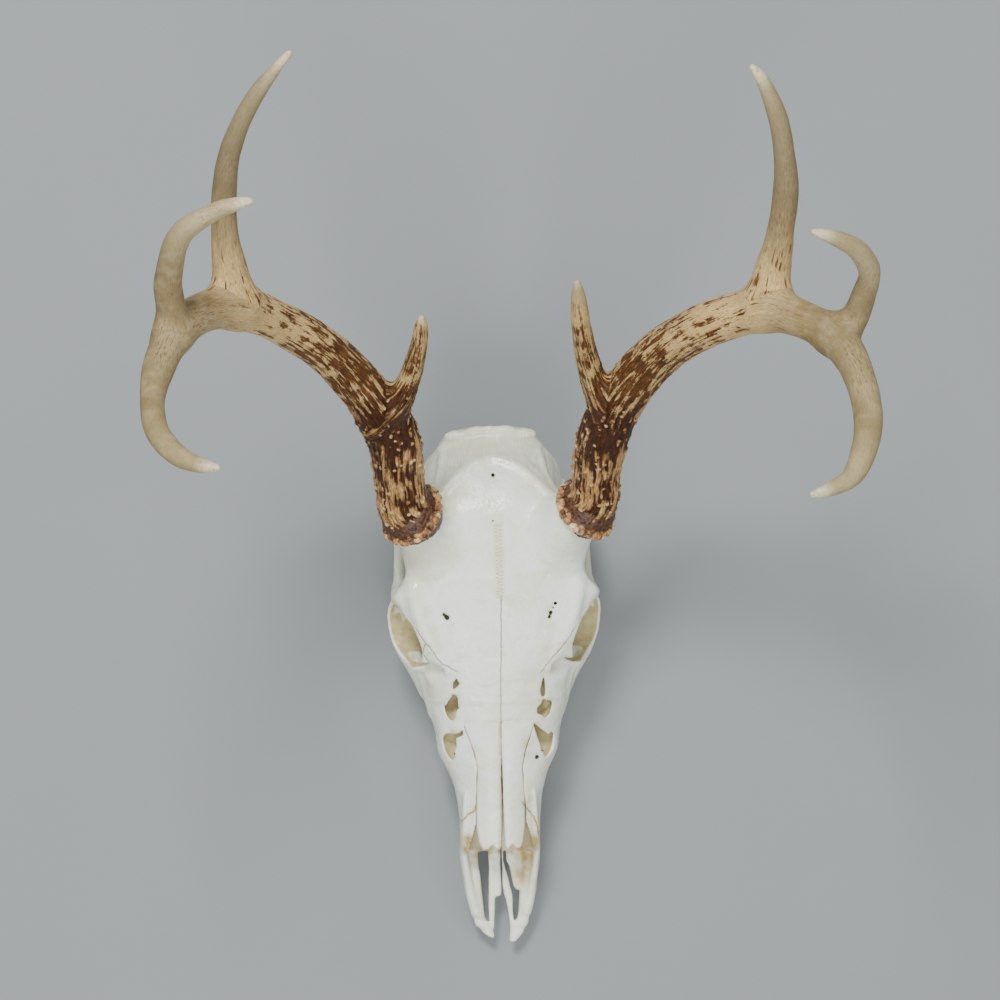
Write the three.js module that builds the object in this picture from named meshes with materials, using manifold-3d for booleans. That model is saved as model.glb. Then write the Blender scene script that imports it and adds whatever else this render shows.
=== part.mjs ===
// Skull and antlers of a white-tailed deer buck, without the lower jaw.
// Millimetres. +Z is up, the nose points along -Y and the animal's left side is +X.
// The skull rests on its cheek teeth and on the tips of its paroccipital processes.

import * as THREE from 'three';
import { mergeVertices } from 'three/addons/utils/BufferGeometryUtils.js';
import Module from 'manifold-3d';

const wasm = await Module();
wasm.setup();

// ---------------------------------------------------------------- driving dimensions

const GAP = 0.3;              // clearance between neighbouring bones
const FAR = 400;              // reach of a cutting block, past everything
const NOSE_TIP_Y = -246;      // front of the premaxillae, from the middle between the burrs
const CORONAL_Y = 6;          // back edge of the frontal bones
const OCCIPUT_Y = 18;         // front edge of the occiput
const FRONTAL_FRONT_Y = -98;  // front edge of the frontal bones
const CHEEK_FRONT_Y = -101;   // front end of the cheek bones
const JAW_BACK_Y = -57;       // back end of the upper jaw
const ORBIT_ROOF_Z = 67;      // level that parts the frontal bones from the bones below
const CHEEK_X = 41;           // inner side of the cheek bones

const ORBIT_CENTRE = new THREE.Vector3(46.6, -70.5, 64);
const ORBIT_FACING = new THREE.Vector3(0.87, -0.28, 0.4).normalize();
const ORBIT_RADIUS = 18.5;
const ORBIT_RIM = 2.6;
const ORBIT_DEPTH = 25;
const ORBIT_LIP = 0.6;        // share of the rim that stays round the socket

// Round forms of the left half of the skull: middle and radii.
const CONDYLE = [[12, 29.5, 38], [8.6, 10, 11.5]];
const EAR_BULLA = [[20, 1, 28], [7.5, 12, 8]];
const MASTOID = [[30.5, 9, 52], [8, 11, 12]];
const ORBIT_FLOOR = [[43.5, -71.5, 42], [8.5, 14, 10]];

// Hollows: middle and radii.
const PALATE_VAULT = [[0, -122, 4], [17.5, 52, 16.5]];
const FORAMEN_MAGNUM = [[0, 40, 44], [8.5, 16, 9]];
const THROAT = [[0, -70, 24], [9.5, 24, 11]];
const VACUITY_BACK = [[25.5, -111, 68], [4.4, 12, 9]];
const VACUITY_FRONT = [[26, -131, 60], [4.4, 8.5, 8]];

const TOOTH_TOP_Z = 22;
const TOOTH_FILL = 0.86;       // share of its length that a tooth's six-sided crown is scaled by
const TEETH_FRONT_Y = -157;
// length along the row and width of each cheek tooth, from the front premolar to the last molar
const CHEEK_TEETH = [[11, 9], [11.5, 10.5], [11, 12.5], [13.5, 14], [14.5, 15], [14.5, 14]];

const BONE = 0xe9ebe0;
const BURR_BROWN = 0x5e3a20;
const BASE_BROWN = 0x6b4526;
const BEAM_TAN = 0x9a7648;
const TINE_GREY = 0xa99a80;

// ---------------------------------------------------------------- sections of the bones
// Each row is [y, middle x, half width, top, widest level, bottom], from back to front.

const BRAINCASE = [
  [39.5, 0, 12, 73, 56, 38],
  [37, 0, 22.5, 76, 55, 30],
  [29, 0, 28.6, 80.5, 54, 27],
  [20, 0, 34.5, 86, 53, 27],
  [6, 0, 36, 92, 58, 27],
  [-12, 0, 35, 94, 60, 29],
  [-30, 0, 31, 93, 62, 32],
  [-46, 0, 24, 90, 62, 35],
  [-62, 0, 16, 86, 62, 38],
  [-74, 0, 14, 80, 62, 38],
];

const FOREHEAD = [
  [12, 0, 30, 92.5, 84, 72],
  [-4, 0, 38, 95.5, 84, 74],
  [-20, 0, 46, 96.5, 84, 73],
  [-36, 0, 47.5, 95, 82, 71],
  [-43, 0, 50, 93.4, 79, 70],
  [-50.5, 0, 56, 91.8, 75.5, 68],
  [-58, 0, 51.5, 90.3, 76.5, 64],
  [-72, 0, 46, 87, 77, 58],
  [-84, 0, 42.5, 83.5, 70, 52],
  [-94, 0, 39.5, 80, 62, 48],
  [-106, 0, 36, 75, 58, 44],
];

const FACE = [
  [-58.5, 0, 34, 81.5, 50, 31],
  [-68, 0, 40.5, 80, 46, 25],
  [-84, 0, 42, 79.5, 44, 20],
  [-100, 0, 41, 76.5, 42, 19],
  [-112, 0, 38.4, 72.5, 41, 19],
  [-124, 0, 34.5, 69, 40, 19.5],
  [-137, 0, 32, 65.5, 38, 20],
  [-150, 0, 26.5, 61.5, 37, 21],
  [-163, 0, 23.2, 57.5, 36, 21.5],
  [-178, 0, 21.6, 52.5, 34, 20.5],
  [-192, 0, 21, 47.5, 31, 19],
];

const NASAL_CAVITY = [
  [-132, 0, 5, 52, 44, 38],
  [-140, 0, 9.5, 55.5, 42, 34],
  [-155, 0, 14.5, 54, 40, 29],
  [-170, 0, 17.2, 50.5, 38, 26],
  [-184, 0, 17.6, 45.5, 35, 24],
  [-200, 0, 17.2, 40, 32, 22.6],
];

const ALVEOLAR_RIDGE = [
  [-76, 27.5, 5, 40, 24, 14],
  [-88, 28.2, 8.2, 42, 22, 10],
  [-104, 28.5, 8.8, 42, 22, 9],
  [-120, 26.8, 8, 40, 22, 9],
  [-140, 22.4, 6.4, 38, 22, 10],
  [-156, 19, 4.9, 36, 22, 12],
  [-168, 17.5, 3.4, 34, 24, 17],
];

const SKULL_BASE = [
  [36, 0, 12, 50, 38, 27],
  [18, 0, 13, 50, 36, 25.5],
  [0, 0, 11, 50, 38, 28],
  [-25, 0, 9.5, 54, 42, 31.5],
  [-50, 0, 9, 58, 44, 35],
  [-78, 0, 10, 60, 46, 36],
];

const PTERYGOID_WING = [
  [-32, 10.4, 1.8, 46, 36, 29],
  [-44, 11, 2, 48, 34, 23],
  [-58, 11.6, 2.2, 48, 30, 14],
  [-74, 12.6, 2.6, 48, 28, 12],
  [-88, 14, 4, 44, 28, 15],
];

const CHEEK_ARCH = [
  [12, 31.5, 6, 52, 44, 38],
  [3, 41, 6.6, 51, 44.5, 39],
  [-12, 48.4, 4, 51, 45.5, 41],
  [-30, 50.4, 3, 51, 46.5, 41],
  [-45, 51, 3.2, 53, 46.5, 39.5],
  [-58, 52.4, 3.6, 52, 45.5, 36],
  [-70, 52.2, 4.4, 50, 44, 32],
  [-82, 47.8, 5.8, 50, 42, 29],
  [-94, 40.4, 6.6, 49, 40, 28],
  [-106, 34.6, 6.6, 46, 39, 28],
];

const PREMAXILLA_EDGE = [
  [-157, 17.2, 1.8, 56, 50, 44],
  [-168, 18.6, 2.1, 53, 44, 34],
  [-180, 19.4, 2.4, 46, 35, 24],
  [-194, 17.8, 3.8, 34, 26, 18.8],
  [-208, 16, 4.1, 26.5, 20.8, 15.2],
  [-221, 14, 3.9, 20.5, 16.6, 12.5],
  [-233, 11.3, 4.4, 16.5, 13.5, 10],
  [-241, 8, 4, 14, 12, 9.2],
  [NOSE_TIP_Y, 5.6, 2, 12.4, 11.2, 9.8],
];

const PREMAXILLA_STRIP = [
  [-186, 3.4, 2.3, 24.5, 21, 17.5],
  [-204, 3.9, 2.3, 21, 18, 14.5],
  [-220, 4.6, 1.9, 17.4, 15, 12.2],
  [-232, 5.6, 2.1, 15.4, 13, 10.6],
  [-240, 6.6, 2.1, 13.6, 12, 9.6],
];

// Outline of the left nasal bone from above: outer edge from the back to the forked tip.
const NASAL_OUTLINE = [
  [9, -94], [19.5, -101], [22, -113], [18.4, -123], [12.2, -145], [13, -166],
  [13.2, -178], [9.5, -185], [7, -190], [4.2, -187], [2.2, -189.5],
];
const NASAL_SIDE_POINTS = 7;       // points of the outline before it turns in towards the tip
const NASAL_BACK_Y = -91;
const NASAL_NOTCH_Y = -187.5;      // where the outline meets the middle line at the front
const NASAL_TIP = [-190, 48];      // y and z of the tip of the roof of the nose
const NASAL_SLOPE = 0.31;
const NASAL_THICKNESS = 8;
const NOSE_OPENING_LENGTH = 20;    // room cut free in front of the tip

// ---------------------------------------------------------------- routes of the limbs
// Each row is [x, y, z, radius], from the root to the tip.

const PAROCCIPITAL = [
  [27.5, 17, 54, 8], [26.4, 19, 36, 8], [25.6, 20.6, 20, 5.5], [25, 21, 8, 3.8], [24.5, 20.5, -2, 2.8],
];
const NUCHAL_CREST = [
  [34, 14, 46, 3.2], [30.4, 21, 59, 3], [22, 33.2, 71.5, 2.6], [10, 37.5, 76, 2.6], [0, 38, 77, 3],
];
const PEDICLE = [[33.5, -20.5, 86, 16.5], [38.7, -14.2, 95, 15.4], [43.8, -7.5, 103.6, 14.2]];
const EYE_BAR = [[52.6, -51, 74, 3.4], [53.4, -49.5, 62, 3.2], [52, -46.5, 50, 3.4]];

const RIGHT_BEAM = [
  [-42.8, -7.4, 103.6, 14.8], [-48.2, -0.6, 112.4, 12.8], [-50.2, 13.5, 125.5, 12.2], [-53, 35, 146, 13.2],
  [-66, 56, 172, 11.8], [-86, 77, 203, 10], [-107, 90, 231, 10.3], [-127, 97, 260, 10.6],
  [-145, 94, 281, 9.4], [-158, 82, 297, 8.4], [-165, 64, 314, 7.1], [-167, 50, 328, 6.4],
  [-164, 36, 340, 6.1], [-154.5, 25.4, 352, 5], [-144, 20.6, 360.5, 3.6], [-136, 19, 366, 1.6],
];
const RIGHT_BROW_TINE = [
  [-60, 45, 159, 9], [-50, 53, 168, 7.4], [-43.5, 65, 180, 5.4], [-39.5, 78, 195, 4.2],
  [-38.2, 87.5, 206, 3.5], [-38, 93, 212, 1.5],
];
const RIGHT_SECOND_TINE = [
  [-128, 99, 262, 9.8], [-130, 110, 269, 9], [-132, 130, 283, 7], [-131, 150, 299, 6.1],
  [-126, 171, 316, 5.1], [-114, 192, 330, 3.8], [-97, 211, 337, 1.4],
];
const RIGHT_THIRD_TINE = [
  [-158.5, 83, 296, 8], [-158, 95, 303, 7], [-158, 109, 317, 6.5], [-151, 127, 338, 5.6],
  [-135, 136, 352, 4.2], [-124, 139, 358.5, 3.2], [-117, 140, 362, 1.5],
];

const LEFT_BEAM = [
  [47, -7.2, 103.6, 14.6], [52, -0.4, 112.4, 12.4], [53, 13.5, 126, 11.9], [55.4, 31, 144, 13],
  [64, 51, 172, 11.8], [81, 71, 206, 10.9], [102, 83, 242, 11.2], [126, 88, 270, 11],
  [142, 82, 288, 9.4], [155, 73, 301, 8.8], [162, 60, 316, 7.9], [165, 42, 333, 7.1],
  [163, 24, 347, 6.3], [154.5, 6.6, 357.5, 5], [143, 0.4, 363.8, 3.6], [134, -2, 368, 1.6],
];
const LEFT_BROW_TINE = [
  [61, 45, 161, 9], [53, 52, 169, 7.6], [46, 69, 187, 5.8], [42, 85, 206, 4.7], [40, 98.5, 221, 3.8],
  [39, 107, 230, 1.5],
];
const LEFT_SECOND_TINE = [
  [127.5, 90, 270, 10.2], [130, 104, 276, 9.2], [133, 122, 289, 6.9], [134, 146, 308, 5.7],
  [130, 171, 326, 4.6], [122, 190, 336, 3.3], [116, 198, 339, 1.4],
];
const LEFT_THIRD_TINE = [
  [156, 73, 300, 8.6], [165, 81, 303, 6.8], [169, 93, 315, 6], [170, 101, 327, 5.5],
  [162, 111, 341, 4.7], [151, 116, 350, 3.7], [140, 119, 355.5, 1.5],
];

const FIRST_FORK = 3.75;     // places along the beams' rows where they are parted
const SECOND_FORK = 6.6;
const BURR_TOP = 0.66;
// places along the beam's rows, and how far the burr swells out of the beam there
const BURR_SWELL = [[0, 0.98], [0.12, 1.17], [0.3, 1.24], [0.46, 1.16], [0.6, 1]];

// ---------------------------------------------------------------- making solids

function toSolid(geometry) {
  const bare = geometry.clone();
  bare.deleteAttribute('normal');
  bare.deleteAttribute('uv');
  const merged = mergeVertices(bare, 1e-4);
  const mesh = new wasm.Mesh({
    numProp: 3,
    vertProperties: new Float32Array(merged.attributes.position.array),
    triVerts: new Uint32Array(merged.index.array),
  });
  return new wasm.Manifold(mesh);
}

function toGeometry(solid) {
  const mesh = solid.getMesh();
  const geometry = new THREE.BufferGeometry();
  geometry.setAttribute('position', new THREE.BufferAttribute(new Float32Array(mesh.vertProperties), 3));
  geometry.setIndex(new THREE.BufferAttribute(new Uint32Array(mesh.triVerts), 1));
  geometry.computeVertexNormals();
  return geometry;
}

function join(solids) {
  return solids.reduce((sum, solid) => sum.add(solid));
}

function cutAway(solid, tools) {
  return tools.reduce((rest, tool) => rest.subtract(tool), solid);
}

// A smooth curve through the rows, read at a place counted in rows.
function rowAt(rows, place) {
  const last = rows.length - 1;
  const i = Math.min(Math.floor(place), last - 1);
  const f = place - i;
  const before = rows[Math.max(i - 1, 0)];
  const after = rows[Math.min(i + 2, last)];
  return rows[i].map((value, c) => {
    const next = rows[i + 1][c];
    const slopeIn = (next - before[c]) / 2;
    const slopeOut = (after[c] - value) / 2;
    const bend = 2 * value - 2 * next + slopeIn + slopeOut;
    const lean = 3 * next - 3 * value - 2 * slopeIn - slopeOut;
    return ((bend * f + lean) * f + slopeIn) * f + value;
  });
}

// A closed cylinder whose points are moved to where place(along, x, z) puts them.
function shapedCylinder(sides, steps, place) {
  const geometry = new THREE.CylinderGeometry(1, 1, 1, sides, steps);
  const points = geometry.attributes.position;
  const moved = new THREE.Vector3();
  for (let i = 0; i < points.count; i += 1) {
    place(points.getY(i) + 0.5, points.getX(i), points.getZ(i), moved);
    points.setXYZ(i, moved.x, moved.y, moved.z);
  }
  return toSolid(geometry);
}

function rounded(value, fullness) {
  return Math.sign(value) * Math.abs(value) ** (2 / fullness);
}

// A bone whose cross-sections stand across the skull's length.
function bone(rows, { sides = 16, steps = 12, fullness = 2.2, margin = 0 } = {}) {
  return shapedCylinder(sides, steps, (along, x, z, point) => {
    const place = (1 - along) * (rows.length - 1);
    const [y, middle, half, top, widest, bottom] = rowAt(rows, place);
    const reach = z > 0 ? top - widest : widest - bottom;
    point.set(
      middle + (half + margin) * rounded(x, fullness),
      y + margin * Math.sign(along - 0.5) * (along === 0 || along === 1 ? 1 : 0),
      widest + (reach + margin) * rounded(z, fullness),
    );
  });
}

// A round limb along its rows, between two places counted in rows.
function limb(rows, { from = 0, to = rows.length - 1, sides = 12, steps = 12, margin = 0 } = {}) {
  const here = new THREE.Vector3();
  const ahead = new THREE.Vector3();
  const side = new THREE.Vector3();
  const over = new THREE.Vector3();
  const upright = new THREE.Vector3(0, 0, 1);
  return shapedCylinder(sides, steps, (along, x, z, point) => {
    const place = from + along * (to - from);
    const row = rowAt(rows, place);
    const before = rowAt(rows, Math.max(place - 0.05, 0));
    const after = rowAt(rows, Math.min(place + 0.05, rows.length - 1));
    here.fromArray(row);
    ahead.fromArray(after).sub(side.fromArray(before)).normalize();
    side.crossVectors(ahead, upright).normalize();
    over.crossVectors(side, ahead);
    const radius = row[3] + margin;
    point.copy(here).addScaledVector(side, x * radius).addScaledVector(over, z * radius);
  });
}

function egg(centre, radii, across = 10) {
  const geometry = new THREE.SphereGeometry(1, across, Math.round(across * 0.6));
  geometry.scale(...radii);
  geometry.translate(...centre);
  return toSolid(geometry);
}

function block([x0, y0, z0], [x1, y1, z1]) {
  const geometry = new THREE.BoxGeometry(x1 - x0, y1 - y0, z1 - z0);
  geometry.translate((x0 + x1) / 2, (y0 + y1) / 2, (z0 + z1) / 2);
  return toSolid(geometry);
}

// The same solid on the animal's other side.
function mirrored(solid) {
  const geometry = toGeometry(solid);
  geometry.scale(-1, 1, 1);
  const corners = geometry.index.array;
  for (let i = 0; i < corners.length; i += 3) {
    const first = corners[i];
    corners[i] = corners[i + 1];
    corners[i + 1] = first;
  }
  return toSolid(geometry);
}

function bothSides(solid) {
  return [solid, mirrored(solid)];
}

// ---------------------------------------------------------------- skull

function orbitRing() {
  const geometry = new THREE.TorusGeometry(ORBIT_RADIUS, ORBIT_RIM, 5, 16);
  const facing = new THREE.Quaternion().setFromUnitVectors(new THREE.Vector3(0, 0, 1), ORBIT_FACING);
  geometry.applyQuaternion(facing);
  geometry.translate(ORBIT_CENTRE.x, ORBIT_CENTRE.y, ORBIT_CENTRE.z);
  return toSolid(geometry);
}

function eyeSocket() {
  const geometry = new THREE.SphereGeometry(1, 12, 7);
  const width = ORBIT_RADIUS - ORBIT_RIM * ORBIT_LIP;
  geometry.scale(width, width, ORBIT_DEPTH);
  const facing = new THREE.Quaternion().setFromUnitVectors(new THREE.Vector3(0, 0, 1), ORBIT_FACING);
  geometry.applyQuaternion(facing);
  geometry.translate(ORBIT_CENTRE.x, ORBIT_CENTRE.y, ORBIT_CENTRE.z);
  return toSolid(geometry);
}

function cheekTeeth() {
  const teeth = [];
  let front = TEETH_FRONT_Y;
  for (const [length, width] of CHEEK_TEETH) {
    const y = front + length / 2;
    const along = (y - ALVEOLAR_RIDGE[0][0]) / (ALVEOLAR_RIDGE[6][0] - ALVEOLAR_RIDGE[0][0]);
    const x = rowAt(ALVEOLAR_RIDGE, along * 6)[1];
    const geometry = new THREE.CylinderGeometry(0.5, 0.56, 1, 6, 1);
    geometry.rotateY(Math.PI / 6);
    geometry.rotateX(Math.PI / 2);
    geometry.scale(width, length * TOOTH_FILL, TOOTH_TOP_Z);
    geometry.translate(x, y, TOOTH_TOP_Z / 2);
    teeth.push(toSolid(geometry));
    front += length;
  }
  return teeth;
}

function skullBeforeParting() {
  const halves = [
    bone(ALVEOLAR_RIDGE, { sides: 6, steps: 5 }),
    bone(PTERYGOID_WING, { sides: 6, steps: 4 }),
    bone(CHEEK_ARCH, { sides: 8, steps: 9 }),
    orbitRing(),
    egg(...CONDYLE, 8),
    egg(...EAR_BULLA, 8),
    egg(...MASTOID, 8),
    egg(...ORBIT_FLOOR, 8),
    limb(PAROCCIPITAL, { sides: 6, steps: 5 }),
    limb(NUCHAL_CREST, { sides: 5, steps: 6 }),
    limb(PEDICLE, { sides: 12, steps: 2 }),
    limb(EYE_BAR, { sides: 6, steps: 3 }),
    ...cheekTeeth(),
  ];
  const socket = eyeSocket();
  const holes = [
    block([-FAR, -FAR, -FAR], [FAR, FAR, 0]),
    ...bothSides(socket),
    bone(NASAL_CAVITY, { sides: 10, steps: 5 }),
    egg(...PALATE_VAULT),
    egg(...FORAMEN_MAGNUM, 8),
    egg(...THROAT, 8),
    ...bothSides(egg(...VACUITY_BACK, 6)),
    ...bothSides(egg(...VACUITY_FRONT, 6)),
  ];
  const middle = [
    bone(BRAINCASE, { sides: 16, steps: 8, fullness: 2.3 }),
    bone(FOREHEAD, { sides: 16, steps: 10, fullness: 2.5 }),
    bone(FACE, { sides: 14, steps: 9, fullness: 2.3 }),
    bone(SKULL_BASE, { sides: 8, steps: 4 }),
  ];
  return cutAway(join([...middle, ...halves.flatMap(bothSides)]), holes);
}

// Upright prism over the left nasal bone, whose bottom runs parallel to the slope of the nose.
function nasalPrism() {
  const back = [GAP / 2, NASAL_BACK_Y];
  const notch = [GAP / 2, NASAL_NOTCH_Y];
  return slopedPrism([back, ...NASAL_OUTLINE, notch], 0);
}

// The room that both nasal bones take, open to the front past their forked tips.
function nasalRoom() {
  const edge = NASAL_OUTLINE.slice(0, NASAL_SIDE_POINTS);
  const left = edge.map(([x, y], i) => [x + GAP, i < 2 ? y + GAP : y]);
  const front = [left.at(-1)[0], NASAL_TIP[0] - NOSE_OPENING_LENGTH];
  const back = [0, NASAL_BACK_Y + GAP];
  const outline = [back, ...left, front];
  const right = outline.slice(1).reverse().map(([x, y]) => [-x, y]);
  return slopedPrism([...outline, ...right], GAP);
}

function slopedPrism(corners, deeper) {
  const shape = new THREE.Shape(corners.map(([x, y]) => new THREE.Vector2(x, y)));
  const geometry = new THREE.ExtrudeGeometry(shape, { depth: 40, bevelEnabled: false });
  const points = geometry.attributes.position;
  const [tipY, tipZ] = NASAL_TIP;
  for (let i = 0; i < points.count; i += 1) {
    const floor = tipZ - NASAL_THICKNESS - deeper + NASAL_SLOPE * (points.getY(i) - tipY);
    points.setZ(i, points.getZ(i) + floor);
  }
  return toSolid(geometry);
}

function premaxilla(margin = 0) {
  const edge = bone(PREMAXILLA_EDGE, { sides: 8, steps: 11, margin });
  const strip = bone(PREMAXILLA_STRIP, { sides: 6, steps: 5, margin });
  return edge.add(strip);
}

function skullBones() {
  const half = GAP / 2;
  const premaxillae = bothSides(premaxilla(GAP));
  const whole = cutAway(skullBeforeParting(), premaxillae);

  const nasalLeft = whole.intersect(nasalPrism());
  const nasalRight = whole.intersect(mirrored(nasalPrism()));
  const rest = whole.subtract(nasalRoom());

  const above = block([-FAR, FRONTAL_FRONT_Y + half, ORBIT_ROOF_Z + half], [FAR, CORONAL_Y - half, FAR]);
  const aboveWide = block([-FAR, FRONTAL_FRONT_Y - half, ORBIT_ROOF_Z - half], [FAR, CORONAL_Y + half, FAR]);
  const burrs = [burr(RIGHT_BEAM, GAP), burr(LEFT_BEAM, GAP)];
  const frontal = cutAway(rest.intersect(above), burrs);
  const lower = rest.subtract(aboveWide);

  const cheekBlock = block([CHEEK_X + half, CHEEK_FRONT_Y + half, 0], [FAR, CORONAL_Y - half, FAR]);
  const cheekWide = block([CHEEK_X - half, CHEEK_FRONT_Y - half, 0], [FAR, CORONAL_Y + half, FAR]);
  const cheekLeft = lower.intersect(cheekBlock);
  const cheekRight = lower.intersect(mirrored(cheekBlock));
  const core = cutAway(lower, bothSides(cheekWide));

  const jawLeft = core.intersect(block([half, -FAR, 0], [FAR, JAW_BACK_Y - half, FAR]));
  const jawRight = core.intersect(block([-FAR, -FAR, 0], [-half, JAW_BACK_Y - half, FAR]));
  const braincase = core.intersect(block([-FAR, JAW_BACK_Y + half, 0], [FAR, OCCIPUT_Y - half, FAR]));
  const occiput = core.intersect(block([-FAR, OCCIPUT_Y + half, 0], [FAR, FAR, FAR]));

  return {
    occiput,
    braincase,
    frontal_bones: frontal,
    cheek_bone_left: cheekLeft,
    cheek_bone_right: cheekRight,
    upper_jaw_left: jawLeft,
    upper_jaw_right: jawRight,
    nasal_bone_left: nasalLeft,
    nasal_bone_right: nasalRight,
    premaxilla_left: premaxilla(),
    premaxilla_right: mirrored(premaxilla()),
  };
}

// ---------------------------------------------------------------- antlers

function burr(beamRows, margin = 0) {
  const flared = BURR_SWELL.map(([place, swell]) => {
    const [x, y, z, radius] = rowAt(beamRows, place);
    return [x, y, z, radius * swell];
  });
  return limb(flared, { sides: 18, steps: 4, margin });
}

function beamPieces(rows, margin = 0) {
  const clear = GAP / 20;
  const stretches = [
    { from: BURR_TOP, to: FIRST_FORK - clear, steps: 5 },
    { from: FIRST_FORK + clear, to: SECOND_FORK - clear, steps: 5 },
    { from: SECOND_FORK + clear, to: rows.length - 1, steps: 13 },
  ];
  return stretches.map((stretch) => limb(rows, { ...stretch, sides: 12, margin }));
}

function antler(side, beamRows, browRows, secondRows, thirdRows) {
  const [base, middle, tip] = beamPieces(beamRows);
  const room = [limb(beamRows, { sides: 12, steps: 26, margin: GAP / 2 }), ...beamPieces(beamRows, GAP)];
  const brow = limb(browRows, { sides: 8, steps: 6 });
  const second = limb(secondRows, { sides: 8, steps: 9 });
  const third = limb(thirdRows, { sides: 8, steps: 8 });
  const pieces = {
    burr: [burr(beamRows), BURR_BROWN],
    beam_base: [base, BASE_BROWN],
    beam_middle: [middle, BEAM_TAN],
    beam_tip: [tip, TINE_GREY],
    brow_tine: [cutAway(brow, room), BASE_BROWN],
    second_tine: [cutAway(second, room), TINE_GREY],
    third_tine: [cutAway(third, room), TINE_GREY],
  };
  const named = {};
  for (const [name, piece] of Object.entries(pieces)) {
    named[`${side}_antler_${name}`] = piece;
  }
  return named;
}

// ---------------------------------------------------------------- the model

function addMesh(parent, name, solid, colour, roughness) {
  const material = new THREE.MeshStandardMaterial({ color: colour, roughness, metalness: 0 });
  const mesh = new THREE.Mesh(toGeometry(solid), material);
  mesh.name = name;
  parent.add(mesh);
}

const model = new THREE.Group();
for (const [name, solid] of Object.entries(skullBones())) {
  addMesh(model, name, solid, BONE, 0.45);
}
const antlers = {
  ...antler('right', RIGHT_BEAM, RIGHT_BROW_TINE, RIGHT_SECOND_TINE, RIGHT_THIRD_TINE),
  ...antler('left', LEFT_BEAM, LEFT_BROW_TINE, LEFT_SECOND_TINE, LEFT_THIRD_TINE),
};
for (const [name, [solid, colour]] of Object.entries(antlers)) {
  addMesh(model, name, solid, colour, 0.6);
}

// The origin lies on the floor under the middle of the model's box.
const box = new THREE.Box3().setFromObject(model);
const middle = box.getCenter(new THREE.Vector3());
model.position.set(-middle.x, -middle.y, -box.min.z);

const group = new THREE.Group();
group.add(model);

export default group;
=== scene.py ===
"""Skull and antlers of a white-tailed buck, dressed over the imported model.

The skull and the antlers are modelled like clay: distance fields in millimetres are joined and
carved on a grid, turned into meshes and given procedural materials. The skull's own frame has its
middle plane at x = 0, its nose towards -Y and its left side towards +X.
"""
import math
from itertools import product

import bpy
import numpy as np
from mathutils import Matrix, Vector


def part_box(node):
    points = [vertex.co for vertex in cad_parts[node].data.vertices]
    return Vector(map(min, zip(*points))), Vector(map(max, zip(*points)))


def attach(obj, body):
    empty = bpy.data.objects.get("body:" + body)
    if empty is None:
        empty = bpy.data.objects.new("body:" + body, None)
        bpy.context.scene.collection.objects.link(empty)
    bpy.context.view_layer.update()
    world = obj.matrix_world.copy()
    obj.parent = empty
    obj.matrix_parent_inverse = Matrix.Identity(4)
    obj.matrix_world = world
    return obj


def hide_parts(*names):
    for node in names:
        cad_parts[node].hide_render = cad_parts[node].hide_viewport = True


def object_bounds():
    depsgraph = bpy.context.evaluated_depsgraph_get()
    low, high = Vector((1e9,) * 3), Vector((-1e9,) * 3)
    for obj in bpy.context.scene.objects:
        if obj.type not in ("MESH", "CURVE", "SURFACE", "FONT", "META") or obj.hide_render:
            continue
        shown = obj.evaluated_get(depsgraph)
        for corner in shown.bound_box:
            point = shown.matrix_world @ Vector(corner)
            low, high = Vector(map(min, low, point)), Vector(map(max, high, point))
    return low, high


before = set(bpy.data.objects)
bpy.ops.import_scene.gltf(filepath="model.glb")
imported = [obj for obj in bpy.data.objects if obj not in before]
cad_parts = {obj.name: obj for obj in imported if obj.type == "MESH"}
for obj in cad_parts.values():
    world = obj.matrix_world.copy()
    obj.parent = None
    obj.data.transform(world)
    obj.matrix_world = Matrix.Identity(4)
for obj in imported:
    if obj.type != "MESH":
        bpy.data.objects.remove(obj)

import openvdb
from mathutils import Matrix, Vector, kdtree

CAD_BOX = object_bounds()

# ---------------------------------------------------------------- sizes, in millimetres

NOSE_TIP_Y = -246.0
MM = 0.001

SKULL_PITCH = 0.66
NASAL_PITCH = 0.5
ANTLER_PITCH = 0.74
BURR_PITCH = 0.42
TOOTH_PITCH = 0.45
REACH = 8.0                      # how far round a shape its distance is worked out

ORBIT_CENTRE = (46.6, -70.5, 64.0)
ORBIT_FACING = (0.87, -0.28, 0.4)
ORBIT_RADIUS = 18.5
ORBIT_RIM = 2.0
ORBIT_HOLLOW = (18.2, 18.2, 25.0)

# Sections of the bones: y, middle x, half width, top, widest level, bottom.
BRAINCASE = [
    (39.5, 0, 12, 73, 56, 38), (37, 0, 22.5, 76, 55, 30), (29, 0, 28.6, 80.5, 54, 27),
    (20, 0, 34.5, 86, 53, 27), (6, 0, 36, 92, 58, 27), (-12, 0, 35, 94, 60, 29),
    (-30, 0, 31, 93, 62, 32), (-46, 0, 24, 90, 62, 35), (-62, 0, 16, 86, 62, 38),
    (-74, 0, 14, 80, 62, 38),
]
FOREHEAD = [
    (22, 0, 16, 83.5, 79, 70), (12, 0, 27, 89.4, 82, 71), (-4, 0, 38, 95.5, 84, 74),
    (-20, 0, 46, 96.5, 84, 73),
    (-36, 0, 47.5, 95, 82, 71), (-43, 0, 50, 93.4, 79, 70), (-50.5, 0, 55.4, 91.8, 75.5, 68),
    (-58, 0, 51, 90.2, 76.5, 64), (-72, 0, 45.5, 86.8, 77, 58), (-84, 0, 42, 82.6, 70, 52),
    (-94, 0, 38.5, 78.4, 62, 48), (-106, 0, 33, 71.5, 56, 44),
]
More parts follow.
